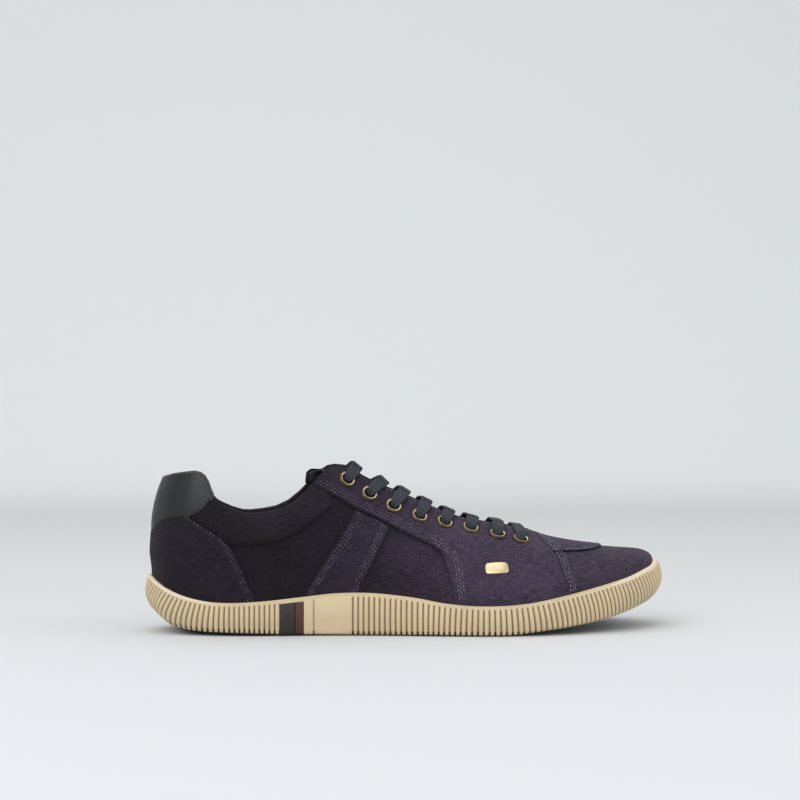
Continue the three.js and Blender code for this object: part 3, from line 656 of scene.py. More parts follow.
def seam(line, side, first=0.0, final=1.0):
    """A seam line seen from the side as places on one side of the shoe, with its length from
    first to final of the part above the sole's edge and below the collar."""
    along, height = curve_through(line, 160).T
    spots = place(side, along, height)
    inside = spots[:, 1] > 0.001
    foot = np.flatnonzero(~inside)
    inside[foot[:1]] = True
    spots = spots[inside]
    spots = spots[spots[:, 1] <= top_v(spots[:, 0]) + 0.004]
    return even(spots, np.linspace(first, final, 160))


def over_ridge(spots):
    """Places of the medial side written as the far side of the lateral one, past v = 1."""
    return np.stack([-spots[..., 0], 2 - spots[..., 1]], -1)


def along_share(share, v):
    return np.stack(np.broadcast_arrays(np.asarray(share, float), np.asarray(v, float)), -1)


BELOW = -0.05  # how far the cloth runs down inside the sole's edge
EDGE_ROWS = [0, 0.12, 0.35, 0.7, 1.2, 1.8]
SIDES = {"low": 0, "high": 1, "start": 2, "end": 3}


def inset_line(spots, side, distance):
    """The places that lie a distance in from one side of a grid of places, along its lines."""
    lines = np.moveaxis(spots, 0, 1) if SIDES[side] >= 2 else spots
    if SIDES[side] % 2:
        lines = lines[:, ::-1]
    length = lengths(last(lines[..., 0], lines[..., 1]), 1)
    i = np.clip((length < distance).sum(1) - 1, 0, lines.shape[1] - 2)
    n = np.arange(len(lines))
    t = (distance - length[n, i]) / np.maximum(length[n, i + 1] - length[n, i], 1e-6)
    return lines[n, i] + np.clip(t, 0, 1)[:, None] * (lines[n, i + 1] - lines[n, i])


def side_distances(points):
    """How far each point of a grid lies from each of its four sides, along its lines."""
    up, across = lengths(points, 1), lengths(points, 0)
    return {"low": up, "high": up[:, -1:] - up, "start": across, "end": across[-1:] - across}


STITCHES = []
TROUGH = 0.28  # how deep a row of stitches pulls the cloth in
TROUGH_HALF = 0.5
# Painted shadow: the scallops along cut borders are painted dark, standing in for the shadows of a pinked
# edge
SCALLOP_SHADOW_PITCH = 3.6  # the pitch of the dark scallops along cut borders
TUCKED = 0.1  # the share of its height that a piece keeps behind the sole's edge


def tucked(v):
    """The share of its height that a piece keeps at v: little at the sole's edge, all above it."""
    return TUCKED + (1 - TUCKED) * smoothstep(1 - np.abs(1 - v), 0.02, 0.2)


def overlay(name, spots, node, material, thick=OVERLAY, back=GAP, edge=0.8,
            seams=()):
    """A piece laid over the upper: a sheet between back and back + thick above the last, its
    borders rounded as a quarter of an ellipse, with a shallow trough along each row of stitches,
    which pulls in a little at each stitch. Near the sole it is pressed down behind the edge."""
    points = last(spots[..., 0], spots[..., 1])
    away = side_distances(points)
    near = np.minimum.reduce(list(away.values()))
    lift = back + thick * rounded(near / edge)
    lift = lift * tucked(spots[..., 1])
    for side, distances in seams:
        run = away["start" if side in ("low", "high") else "low"]
        for k, distance in enumerate(distances):
            pull = 0.75 + 0.25 * np.cos(2 * np.pi * (run / STITCH_PITCH + k * 0.5))
            lift = lift - TROUGH * pull * np.exp(-((away[side] - distance) / TROUGH_HALF) ** 2)
            line = inset_line(spots, side, distance)
            STITCHES.append((line, back + thick - TROUGH, k * STITCH_PITCH / 2))
    depth = crease(points)
    scallop_shadow = 0.3 + 0.9 * np.cos(np.pi * (away["low"] + away["start"]) / SCALLOP_SHADOW_PITCH) ** 2
    out = facing(spots[..., 0], spots[..., 1])
    front = points + out * (lift - depth)[..., None]
    behind = points + out * (back * tucked(spots[..., 1]) - depth)[..., None]
    # edge: painted shadow along the cut borders, reaching further in where the scallops are
    grids = between(front, behind, cloth_uv(spots), edge=np.exp(-near / scallop_shadow))
    return put(name, grids, node=node, materials=[material], keys=("edge",))


def upper_spots():
    side = np.concatenate([np.linspace(0, THROAT_END, 190), np.linspace(THROAT_END, 1, 70)[1:]])
    return np.concatenate([-side[:0:-1], side])


def make_upper(cloth, lining):
    """The hollow upper: the last's surface outside and WALL in from it inside, joined at collar
    and throat by half a circle, and straight across underneath."""
    share = upper_spots()
    end = top_v(share)
    upright = np.linalg.norm(last(share, end) - last(share, end - 0.01), axis=-1) / 0.01
    radius = WALL / 2 * (1 - smoothstep(np.abs(share), THROAT_END - 0.03, THROAT_END))
    shoulder = end - radius / upright
    rise = np.linspace(0, 1, 66)[None]
    v = BELOW + (shoulder[:, None] - BELOW) * rise
    spots = along_share(share[:, None], v)
    flat = np.zeros(v.shape)
    outside = grown(spots[..., 0], spots[..., 1], flat)
    inside = grown(spots[..., 0], spots[..., 1], flat - WALL)
    turn = np.linspace(0, np.pi, 9)[None]
    rolled = np.abs(share) <= THROAT_END + 1e-6
    roll_v = (shoulder[:, None] + radius[:, None] * np.sin(turn) / upright[:, None])[rolled]
    roll_grow = np.broadcast_to(WALL / 2 * (np.cos(turn) - 1), roll_v.shape)
    roll_share = np.broadcast_to(share[rolled][:, None], roll_v.shape)
    roll_spots = along_share(roll_share, roll_v)
    roll = grown(roll_share, roll_v, roll_grow)
    foot = np.stack([inside[:, 0], outside[:, 0]], 1)
    return put("upper_shell", [grid(outside, cloth_uv(spots)), grid(roll, cloth_uv(roll_spots)),
                               grid(inside[:, ::-1], cloth_uv(spots)[:, ::-1], 1), grid(foot)],
               node="upper", materials=[cloth, lining])


# A padded edge in millimetres: its back's height above the upper, its thickness at the lower
# seam, how fast its ends close, and how far up from the seam the painted shadow of its groove reaches
PAD_BACK = 0.15
PAD_EDGE = 1.1
PAD_CLOSE = 0.8
PAD_SHADOW_REACH = 0.9
TOOTH = 2.7  # the pitch of the tab's teeth


def rolled_edge(name, share, low, node, material, bulge, lip, inside, teeth=0.0):
    """A padded edge over the collar: from its lower seam up the outside, bulging as the root of a
    sine, over the collar in half an ellipse and down the lining, closed along the upper. Its
    lower edge can be cut into small teeth, as a triangle wave of the length along it."""
    high = top_v(share)
    upright = (np.linalg.norm(last(share, high) - last(share, high - 0.01), axis=-1) / 0.01)[:, None]
    high, low, bulge, lip = high[:, None], low[:, None], bulge[:, None], lip[:, None]
    run = lengths(last(share, low[:, 0])[None], 1)[0][:, None]
    teeth = teeth * (2 * np.abs(run / TOOTH % 1 - 0.5) - 0.5) / upright
    teeth = teeth * smoothstep((high - low) * upright, 2, 6)
    b = np.concatenate([[0, 0.012, 0.03, 0.06], np.linspace(0.1, 1, 26)])[None]
    swell = bulge * np.sin(np.pi * np.clip(b, 0, 1) ** 0.8) ** 0.8
    out_v = low + (high - low) * b + teeth * (1 - smoothstep(b, 0.0, 0.08))
    out_grow = PAD_BACK + rounded(b / 0.03) * (PAD_EDGE + (lip - PAD_EDGE) * b) + swell
    turn = np.linspace(0, np.pi, 15)[None, 1:-1]
    middle, half = (out_grow[:, -1:] - WALL - lip) / 2, (out_grow[:, -1:] + WALL + lip) / 2
    over_v = high + lip * 1.1 * np.sin(turn) / upright
    over_grow = middle + half * np.cos(turn)
    c = np.linspace(0, 1, 16)[None]
    in_v = high - inside * c / upright
    in_swell = bulge * 0.5 * np.sin(np.pi * c) * (1 - c)
    in_grow = -WALL - lip * (1 - smoothstep(c, 0.5, 1)) - PAD_BACK - in_swell
    v = np.concatenate([out_v, over_v, in_v], 1)
    grow = np.concatenate([out_grow, over_grow, in_grow], 1)
    under_v = np.minimum(v, high + 0.2 / upright)
    turned = PAD_BACK - (WALL + 2 * PAD_BACK) * turn / np.pi
    under_grow = np.concatenate([np.full(out_v.shape, PAD_BACK), np.broadcast_to(turned, over_v.shape),
                                 np.full(in_v.shape, -WALL - PAD_BACK)], 1)
    wide = np.broadcast_to(share[:, None], v.shape)
    surface = last(wide, v)
    from_start = lengths(surface, 0)
    away = np.minimum(from_start, from_start[-1:] - from_start)
    grow = under_grow + (grow - under_grow) * rounded(away / PAD_CLOSE)
    spots = along_share(wide, v)
    outside = np.arange(v.shape[1]) < out_v.shape[1]
    depth = crease(surface) * outside
    front = surface + facing(wide, v) * (grow - depth)[..., None]
    behind = last(wide, under_v) + facing(wide, under_v) * (under_grow - depth)[..., None]
    # Painted shadow in the groove along the lower seam, growing lighter upwards
    dark = np.exp(-lengths(surface, 1) / PAD_SHADOW_REACH)
    grids = between(front, behind, cloth_uv(spots), edge=dark)
    return put(name, grids, node=node, materials=[material], keys=("edge",))


def line_v(share, side_line, low=0.0):
    """The v where sections cross a seam line given by height along the shoe."""
    def below(v):
        point = last(share, v)
        line = np.interp(x_to_along(point[..., 0]), side_line[:, 0], side_line[:, 1])
        return point[..., 2] < line * UPPER_HEIGHT

    return halved(below, np.full_like(share, low), np.ones_like(share))


def share_at(along, side):
    """The share where a section's place at the collar lies at along."""
    return float(side * halved(lambda s: last(side * s, top_v(side * s))[..., 0] < along_x(along),
                               np.array([0.0]), np.array([0.6]))[0])


# Where the tab and the cuffs end along the collar, and the cuffs' lower seam
TAB_END = 0.121
CUFF_ENDS = (0.088, 0.338)
CUFF_LOW = np.vstack([COUNTER_LINE[:3], PAD_LINE])


def make_collar(cloth, leather):
    """The leather tab over the heel, and a padded cuff on either side that runs under it and
    under the lace facing."""
    share = np.linspace(share_at(TAB_END, -1), share_at(TAB_END, 1), 400)
    low = line_v(share, TAB_LINE)
    size = smoothstep(1 - np.abs(share / share[-1]), 0, 0.35)
    tab = rolled_edge("heel_tab_leather", share, low, "heel_tab", leather, 0.2 + 0.5 * size,
                      1.2 + 0.3 * size, 24, teeth=0.55)
    for side, word in ((1, "lateral"), (-1, "medial")):
        ends = [share_at(along, side) for along in CUFF_ENDS]
        share = np.linspace(*ends, 150)
        t = np.linspace(0, 1, 150)
        low = line_v(share, CUFF_LOW)
        puff = smoothstep(t, 0.1, 0.3) * (1 - smoothstep(t, 0.72, 1))
        cuff = rolled_edge(f"cuff_pad_{word}", share, low, f"cuff_{word}", cloth,
                           2.9 * puff, 0.3 + 1.1 * puff, 26)


def make_heel_counter(cloth):
    """The counter round the heel: a patch between the foot, the tab's lower seam and both
    counter seams."""
    right = seam(COUNTER_LINE, 1)[::-1]
    left = seam(COUNTER_LINE, -1)[::-1]
    a = clustered(120, EDGE_ROWS, 200)
    b = clustered(60, EDGE_ROWS, 45)
    share = left[-1, 0] + (right[-1, 0] - left[-1, 0]) * a
    top = along_share(share, line_v(share, TAB_LINE) + 0.01)
    foot = along_share(left[0, 0] + (right[0, 0] - left[0, 0]) * a, BELOW)
    right, left = (even(np.vstack([[side[0, 0], BELOW], side]), b) for side in (right, left))
    top = even(np.vstack([left[-1], top[(a > 0.02) & (a < 0.98)], right[-1]]), a)
    spots = patch(foot, top, a, b, left, right)
    overlay("heel_counter_canvas", spots, "heel_counter", cloth,
            seams=[("start", (1.6, 2.9, 4.2)), ("end", (1.6, 2.9, 4.2))])


def throat_corner(side):
    """The share where the collar line meets the throat."""
    share = side * np.linspace(0.3, 0.5, 400)
    x, y, z = np.moveaxis(last(share, top_v(share)), -1, 0)
    return share[np.flatnonzero(collar_z(x) - z - COLLAR_TILT * y < 0.05)[-1]]


def facing_half(side):
    """The outer and inner borders of one lace facing, the collar's edge at its rear end, and
    the seam over the toe, as places on one side."""
    rear = seam(EYESTAY_LINE, side)
    rear = np.vstack([[rear[0, 0], float(top_v(rear[:1, 0])[0])], rear[1:-1], [rear[-1, 0], BELOW]])
    toe = seam(TOE_SEAM, side)
    toe = toe[np.argsort(toe[:, 1])]
    toe = np.vstack([[toe[0, 0], BELOW], toe])
    ridge_share = halved(lambda s: last(s, np.ones(1))[..., 0] < along_x(TOE_SEAM[-1, 0] - 0.001),
                         np.array([0.6]), np.array([0.9]))[0]
    toe = np.vstack([toe[toe[:, 1] < 0.97], [side * ridge_share, 1]])
    corner = throat_corner(side)
    return rear, toe, corner


FACING_BREAKS = (0.53, 0.655)  # the inner border's shares across from the outer one's corners


def make_eyestay(cloth):
    """The lace facings and the vamp as one U round the throat: ruled between its outer border,
    which runs down to the sole, along it and over the toe, and the throat."""
    counts = (110, 70, 60)
    b = clustered(64, EDGE_ROWS, 40)
    halves = []
    for side in (1, -1):
        rear, toe, corner = facing_half(side)
        a0 = clustered(counts[0] - 10, EDGE_ROWS, 130)
        a2 = np.linspace(0, 1, counts[2])
        foot = along_share(np.linspace(rear[-1, 0], toe[0, 0], counts[1]), BELOW)
        outer = np.vstack([even(rear, a0), foot[1:], even(toe, a2)[1:]])
        breaks = side * np.array(FACING_BREAKS)
        inner = np.concatenate([corner + (breaks[0] - corner) * a0, np.linspace(*breaks, counts[1])[1:],
                                np.linspace(breaks[1], side * THROAT_END, counts[2])[1:]])
        inner = along_share(inner, top_v(inner))
        edge = np.linspace(outer[0, 0], inner[0, 0], len(b))
        edge = even(along_share(edge, top_v(edge)), b)
        a = np.linspace(0, 1, len(outer))
        spots = patch(outer, inner, a, b, left=edge, reach=0.18)
        halves.append(spots if side > 0 else over_ridge(spots)[::-1][1:])
    spots = np.concatenate(halves)
    overlay("lace_facing_canvas", spots, "eyestay", cloth, seams=[("high", (2.2,))])
    for side in (1, -1):
        for line, distances in ((EYESTAY_LINE, (2, 3.5, 5)), (TOE_SEAM[::-1], (1.4, 2.9, 4.4))):
            for k, distance in enumerate(distances):
                row = seam(beside(line, distance), side)
                STITCHES.append((row, GAP + OVERLAY - 0.1, k * STITCH_PITCH / 2))


def beside(line, distance):
    """A seam line moved sideways by a distance, seen from the side."""
    points = curve_through(line, 80) * [LAST_LENGTH, UPPER_HEIGHT]
    run = unit(np.gradient(points, axis=0))
    return (points + np.stack([run[:, 1], -run[:, 0]], -1) * -distance) / [LAST_LENGTH, UPPER_HEIGHT]


def make_straps(cloth):
    """A strap on either side, from the lace facing down to the sole, its outer borders pinked, shown only by
    painted scallop shadows.
    """
    for side, word in ((1, "lateral"), (-1, "medial")):
        back, front = seam(STRAP_BACK, side)[::-1], seam(STRAP_FRONT, side)[::-1]
        b = clustered(70, EDGE_ROWS, 60)
        a = clustered(40, EDGE_ROWS, 26)
        back, front = (np.vstack([[line[0, 0], BELOW], line]) for line in (back, front))
        bottom = even(np.vstack([back[:1], front[:1]]), a)
        top = even(np.vstack([back[-1:], front[-1:]]), a)
        spots = patch(bottom, top, a, b, even(back, b), even(front, b))
        overlay(f"strap_canvas_{word}", spots, f"strap_{word}", cloth, back=0.2,
                seams=[("start", (1.9, 3.3, 4.7)), ("end", (1.9, 3.3, 4.7))])


def make_toe_tab(cloth):
    """The tab on the toe: ruled from the toe seam forward to its border, which lies at the
    table's half width from the ridge."""
    seam_line = []
    for side in (1, -1):
        _, toe, _ = facing_half(side)
        seam_line.append(toe)
    rear = np.vstack([seam_line[0], over_ridge(seam_line[1])[::-1][1:]])
    tip = float(halved(lambda s: last(s, np.ones(1))[..., 0] < along_x(TOE_TAB[-1, 0]),
                       np.array([0.7]), np.array([1.0]))[0])

    def border(side):
        share = side * np.linspace(0.7, tip, 200)

        def outside(v):
            point = last(share, v)
            half = smooth(TOE_TAB, x_to_along(point[..., 0]))[..., 0] * BALL_WIDTH
            return np.abs(point[..., 1] - ridge_y(point[..., 0])) > half

        v = halved(outside, np.zeros_like(share), np.ones_like(share))
        spots = along_share(share, v)
        own_seam = seam_line[0 if side > 0 else 1]
        ahead = side * (spots[:, 0] - side * np.interp(v, own_seam[:, 1], np.abs(own_seam[:, 0])))
        return spots[ahead > 0.004]

    lateral, medial = border(1), over_ridge(border(-1))
    front = np.vstack([lateral, [[tip, 1]], medial[::-1]])
    a = clustered(90, EDGE_ROWS, 80)
    b = clustered(44, EDGE_ROWS, 36)
    within = (rear[:, 1] > lateral[0, 1]) & (rear[:, 1] < medial[0, 1])
    back = even(np.vstack([[np.interp(lateral[0, 1], rear[:, 1], rear[:, 0]), lateral[0, 1]], rear[within],
                           [np.interp(medial[0, 1], rear[:, 1], rear[:, 0]), medial[0, 1]]]), a)
    spots = patch(back, even(front, a), a, b)
    overlay("toe_tab_canvas", spots[:, ::-1], "toe_tab", cloth, back=0.25,
            seams=[("low", (1.6, 2.9))])


# The sole's side: fall (0 under the smooth edge, 1 at the ground), outset, tuck
SOLE_SIDE = rows("""
    0     2.50 0
    0.03  2.90 0
    0.12  3.40 0
    0.28  4.10 0
    0.45  4.40 0.05
    0.62  4.30 0.2
    0.78  3.90 0.5
    0.88  3.60 0.9
    0.94  2.90 1.05
    0.98  1.90 1.2
    1     0.90 1.3
""")
# How far the ribs lean with the edge, by share
LEAN = ([0, 0.03, 0.14, 0.22, 0.5, 0.6, 0.93, 1], [0, 1.5, 1, 0, 0, 0.8, 1.3, 0])
RIB_DEPTH = 0.75
NOTCH_DEPTH = 1.3
UNDERCUT = 1.1  # how far the sole lies in below the feet
SOLE_LIP = 2.6  # how far the smooth edge stands out from the upper
GROUND_INSET = 5
GROUND_TUCK = 1.4
PANEL_GROOVE = 0.3172  # the thin groove in the smooth panel
GROOVE_HALF = 0.35
INLAY_SINK = 0.5  # how far the blocks' recess lies in from the panel
# The smooth edge's section: outset past its own, and height as a share of the lip's depth
LIP_SECTION = [(0.25, 0.05), (0.12, 0.3), (0, 0.6), (-0.12, 0.8), (-0.45, 0.94), (-0.9, 1.0), (-1.9, 1.0)]
# One rib: how far across it, and how deep the groove is there
RIB_SHAPE = rows("""
    0    1
    0.10 1
    0.20 0.1
    0.40 0
    0.60 0
    0.80 0.1
    0.90 1
""")


def rib_shares():
    """Shares round the sole and how deep the groove is at each: every rib has the shape of the
    table, and ribs lie closer at heel and toe."""
    girth = LATERAL_LENGTH + MEDIAL_LENGTH + 2 * np.pi * RIB_MIDDLE
    side_ribs = 5 * round(girth / RIB_PITCH / 5 / 2)
    place_in_rib = (np.arange(side_ribs)[:, None] + RIB_SHAPE[:, 0]).ravel() / side_ribs
    u = np.concatenate([place_in_rib, [1]])
    depth = np.concatenate([np.tile(RIB_SHAPE[:, 1], side_ribs), [1]])
    share = u - 0.015 * np.sin(2 * np.pi * u)
    return np.concatenate([-share[:0:-1], share]), np.concatenate([depth[:0:-1], depth])


def lip_slope(share):
    """The rise of the sole's edge for each millimetre round the shoe."""
    step = 0.01
    rise = lip_z(share + step) - lip_z(share - step)
    run = np.linalg.norm(outline_point(share + step) - outline_point(share - step), axis=-1)
    return rise / run * np.where(share < 0, -1, 1)


def sole_point(share, fall, sink=0.0):
    """A point of the sole's side. Ribs run square to the edge, so that a lower point lies further
    along where the edge rises."""
    side = np.where(share < 0, -1, 1)
    top = lip_z(share) - LIP_DEPTH
    under = under_z(outline_point(share)[..., 0])
    drop = (top - under) * fall
    slope = np.interp(np.abs(share), *LEAN) * lip_slope(share)
    moved = np.clip(share + side * slope * drop / CLOTH_LENGTH, -1, 1)
    row = smooth(LIP_TABLE, moved)
    outset, tuck = np.moveaxis(smooth(SOLE_SIDE, fall), -1, 0)
    ground = under_z(outline_point(moved)[..., 0])
    low = top - drop * (top - ground) / np.maximum(top - under, 1e-6)
    return rim(moved, (outset - sink) * row[..., 2] - tuck * row[..., 1] * END_TUCK, low)


def midline(ring):
    """The points halfway between the two sides of a ring round the sole."""
    return (ring + ring[::-1]) / 2


def make_outsole(rubber):
    """The cup sole: its ribbed side with a smooth edge above, the inside down to the bed and the
    underside, each ring of points round the shoe. The ribs stop at the lateral smooth panel."""
    share, groove = rib_shares()
    plain = (share >= PANEL[0]) & (share <= PANEL[1])
    thin = np.exp(-((share - PANEL_GROOVE) * CLOTH_LENGTH / GROOVE_HALF) ** 2)
    groove = np.where(plain, thin, groove)
    inlaid = (share > INLAY_DARK[0]) & (share < INLAY_RED[1])
    fall = np.concatenate([[1, 0.985, 0.965, 0.94], np.linspace(0.925, 0.06, 32), [0.03, 0.012, 0]])
    share_grid, fall_grid = np.broadcast_arrays(share[:, None], fall[None])
    reach = smoothstep(fall_grid, 0.0, 0.05)
    plain_side = sole_point(share_grid, fall_grid)
    over_feet = plain_side[..., 2] - np.interp(x_to_along(plain_side[..., 0]), *FEET)
    # The notches just above the ribs' feet; they also take the painted shadow
    notch = 1 - smoothstep(over_feet, 1.4, 2.2)
    undercut = 1 - smoothstep(over_feet, -0.5, 0.1)
    sink = groove[:, None] * (RIB_DEPTH + (NOTCH_DEPTH - RIB_DEPTH) * notch) * reach
    sink = np.where(undercut > 0, sink * (1 - undercut) + UNDERCUT * undercut, sink)
    sink = sink + INLAY_SINK * (inlaid[:, None] & (fall_grid > 0.03) & (fall_grid < 0.97))
    side = sole_point(share_grid, fall_grid, sink)
    swell = smooth(LIP_TABLE, share)[:, 1]
    edge_out = SOLE_LIP + (swell - 1) * 3
    z = lip_z(share)
    band = [rim(share, edge_out + out, z - LIP_DEPTH * (1 - up)) for out, up in LIP_SECTION]
    inner = [rim(share, 0.25, z - 0.1)]
    bed_wall = rim(share, 0.25, 0)
    bed_wall[:, 2] = bed_z(bed_wall[:, 0])
    ground = rim(share, -GROUND_INSET - GROUND_TUCK * END_TUCK * smooth(LIP_TABLE, share)[:, 1] - 0.4, 0)
    ground[:, 2] = under_z(ground[:, 0])
    half_ground = (ground + midline(ground)) / 2
    half_bed = (bed_wall + midline(bed_wall)) / 2
    rings = [midline(ground), half_ground, ground, *np.moveaxis(side, 1, 0), *band, *inner,
             bed_wall, half_bed, midline(bed_wall)]
    for ring in (rings[0], rings[1]):
        ring[:, 2] = under_z(ring[:, 0])
    for ring in (rings[-1], rings[-2]):
        ring[:, 2] = bed_z(ring[:, 0])
    points = np.stack(rings, 1)
    low, high = 3, 3 + len(fall)
    depth = np.zeros(points.shape[:2])
    depth[:, low:high] = groove[:, None] * reach
    # Painted shadow: very dark in the notches above the ribs' feet, in the undercut below them and over the
    # whole underside
    dark = np.zeros(points.shape[:2])
    dark[:, low:high] = np.maximum(groove[:, None] * notch, undercut)
    dark[:, :low] = 1
    smooth_edge = np.zeros(points.shape[:2])
    smooth_edge[:, high:high + len(band)] = 1
    uv = np.stack([np.broadcast_to(share[:, None] * CLOTH_LENGTH, points.shape[:2]), points[..., 2]], -1)
    put("cup_sole", [grid(points, uv, 0, groove=depth, notch=dark, band=smooth_edge)], node="outsole",
        materials=[rubber], keys=("groove", "notch", "band"))


def make_inlays(dark, red):
    """The two blocks let into the side of the sole, a hair prouder than the panel, with rounded
    borders."""
    for name, zone, node, material, slot in (
            ("side_block_dark", INLAY_DARK, "inlay_dark", dark, "dark_rubber"),
            ("side_block_red", INLAY_RED, "inlay_red", red, "red_rubber")):
        width = (zone[1] - zone[0]) * CLOTH_LENGTH
        a = clustered(20, [0, 0.1, 0.3, 0.6], width)
        b = clustered(26, [0, 0.1, 0.3, 0.6], 14)
        share = (zone[0] + (zone[1] - zone[0]) * a)[:, None]
        fall = (0.955 - 0.915 * b)[None]
        share, fall = np.broadcast_arrays(share, fall)
        near = np.minimum.reduce(list(side_distances(sole_point(share, fall)).values()))
        round_off = 0.55 * (1 - rounded(near / 0.5))
        front = sole_point(share, fall, round_off - 0.05)
        back = sole_point(share, fall, np.full(share.shape, INLAY_SINK))
        uv = np.stack([share * CLOTH_LENGTH, fall * 16], -1)
        put(name, between(front, back, uv), node=node, materials=[material])


def make_insole(lining):
    """The insole: the outline drawn in by the upper's wall, with a rounded border, dished by a
    shallow bowl under the heel."""
    side = np.linspace(0, 1, 160)
    share = np.concatenate([-side[:0:-1], side])

    def ring(inset, lift):
        points = rim(share, -WALL - 0.6 - inset, 0)
        points[:, 2] = bed_z(points[:, 0]) + lift
        return points

    def drawn_in(part, lift):
        points = ring(0.8, lift)
        points = points + (midline(points) - points) * part
        points[:, 2] = bed_z(points[:, 0]) + lift
        return points

    top = INSOLE_THICKNESS + GAP
    border = [ring(0.3, GAP + 0.1), ring(0, GAP + 0.8), ring(0, top - 0.8), ring(0.3, top - 0.15)]
    bowl = [drawn_in(part, top - 0.25 * np.sin(np.pi / 2 * part)) for part in np.linspace(0, 1, 12)]
    points = np.stack([drawn_in(1, GAP), drawn_in(0, GAP), *border, *bowl], 1)
    put("insole_cloth", [grid(points, points[..., :2])], node="insole", materials=[lining])


# The tongue: share of its ends, slant, fall of its free end
TONGUE = {"rear": 0.362, "front": 0.745, "slant": 0.036, "free": 4, "free_end": 0.22, "press": 0.15}
TONGUE_FILL = 1.53  # how far its front and its back lie out from the middle, in millimetres


def tongue_grid(station, across, depth):
    """Points of the tongue: under the facings it follows the last drawn in by depth, between them
    it lies a little crowned, and what would rise past its top is pressed down."""
    middle = TONGUE["rear"] + (TONGUE["front"] - TONGUE["rear"]) * station
    share = middle - TONGUE["slant"] * np.abs(across) * (1 - station)
    side = np.where(across < 0, 1, -1)
    free = TONGUE["free"] * (1 - smoothstep(station, 0, TONGUE["free_end"]))

    def under(sign, half):
        v = halved(lambda v: np.abs(last(sign * share, v)[..., 1]) > half, np.zeros_like(share),
                   np.ones_like(share))
        return grown(sign * share, v, -WALL - 1.1 - free - depth, sunk=False)

    edge = np.maximum(throat_half(last(share, np.ones_like(share))[..., 0]), 4)
    half = np.abs(across) * TONGUE_HALF
    part = (np.clip(across * TONGUE_HALF / edge, -1, 1) + 1) / 2
    lateral, medial = under(1.0, edge), under(-1.0, edge)
    between_sides = lateral + (medial - lateral) * part[..., None]
    crown = 1.6 * smoothstep(edge, THROAT_HALF / 2, THROAT_HALF)
    between_sides[..., 2] += crown * np.sin(np.pi * part)
    point = np.where((half >= edge)[..., None], under(side, half), between_sides)
    cap = TONGUE_TOP - depth
    z = point[..., 2]
    point[..., 2] = np.where(z > cap, cap + (z - cap) * TONGUE["press"], z)
    return point


def make_tongue(cloth):
    """The padded tongue: a pillow between two grids, thickest in the middle, its borders round
    and its top end rolled, with a shallow groove round it where a row of stitches would lie."""
    station, across = np.meshgrid(np.linspace(0, 1, 110), np.linspace(-1, 1, 61), indexing="ij")
    flat = tongue_grid(station, across, 0.0)
    near = np.minimum.reduce(list(side_distances(flat).values()))
    full = rounded(near / 2.2)
    groove = 0.5 * np.exp(-((near - 4.5) / 0.7) ** 2)
    front = tongue_grid(station, across, TONGUE_FILL * (1 - full) + groove * full)
    back = tongue_grid(station, across, TONGUE_FILL + 1.5 * full)
    uv = np.stack([lengths(flat, 0), lengths(flat, 1)], -1)
    tongue = put("tongue_pad", between(front, back, uv), node="tongue", materials=[cloth])


def eyelet_places():
    """Each eyelet's name, place, point on the last and outward direction, and where its lace
    goes over the facing's edge: ahead of the eyelet by its lean."""
    number = np.repeat(np.arange(len(EYELETS)), 2)
    side = np.tile([1, -1], len(EYELETS))
    along, height, lean = EYELETS[number].T
    spots = place(side, along, height)
    points, out = last(spots[:, 0], spots[:, 1]), facing(spots[:, 0], spots[:, 1])
    edge_x = along_x(along) + lean * LACE_LEAN
    half = np.maximum(throat_half(edge_x), 3)

    def row(share, grow=0.0):
        def outside(v):
            return np.abs(grown(share, v, np.full(len(share), grow), sunk=False)[..., 1]) > half

        return halved(outside, np.zeros(len(share)), np.ones(len(share)))

    share = spots[:, 0]
    for _ in range(8):
        share = share + side * (edge_x - last(share, row(share))[..., 0]) / LAST_LENGTH
    edges = np.stack([share, row(share, OVERLAY + GAP + 0.8)], -1)
    words = {1: "lateral", -1: "medial"}
    return [{"name": f"eyelet_{words[s]}_{n + 1}", "number": n, "side": s, "spot": spots[k],
             "edge": edges[k], "point": points[k], "out": out[k]}
            for k, (n, s) in enumerate(zip(number, side))]


EYELET_PLACES = eyelet_places()

# The eyelet's section: radius, height above the last, and how bright the metal is
EYELET_SECTION = rows("""
    3.10 -2.2 0
    3.45 -2.2 0
    3.45  1.5 0
    4.95  1.5 0
    5.05  1.7 0
    4.85  2.0 0
    4.45  2.25 0
    4.05  2.4 0.1
    3.75  2.45 0.7
    3.45  2.35 1
    3.22  2.0 1
    3.12  1.4 0.4
    3.10  0.2 0
    3.10 -2.2 0
""")


def square_to(out):
    """Two directions square to out and to each other, the first along the shoe."""
    first = unit(np.cross(np.array([0.0, 1.0, 0.0]), out))
    return first, np.cross(out, first)


def make_eyelets(metal):
    """Each eyelet is its section turned round the outward direction of the facing."""
    turn = np.linspace(0, 2 * np.pi, 49)[:, None, None]
    for item in EYELET_PLACES:
        first, second = square_to(item["out"])
        radius, height, bright = EYELET_SECTION.T[:, None, :, None]
        ring = (item["point"] + first * np.cos(turn) * radius + second * np.sin(turn) * radius
                + item["out"] * height)
        shine = np.broadcast_to(bright[..., 0], ring.shape[:2])
        put(item["name"] + "_ring", [grid(ring, None, 0, bright=shine)], node=item["name"],
            materials=[metal], keys=("bright",))


HOLE_RADIUS = 3.5


def hole_cutter():
    """The points of sixteen closed tubes that cut the eyelets' holes."""
    tubes = []
    turn = np.linspace(0, 2 * np.pi, 25)[:, None, None]
    rise = np.array([-9.0, -9, 6, 6])[None, :, None]
    radius = np.array([0, HOLE_RADIUS, HOLE_RADIUS, 0])[None, :, None]
    for item in EYELET_PLACES:
        first, second = square_to(item["out"])
        tube = (item["point"] + first * np.cos(turn) * radius + second * np.sin(turn) * radius
                + item["out"] * rise)
        tubes.append(tube)
    return tubes


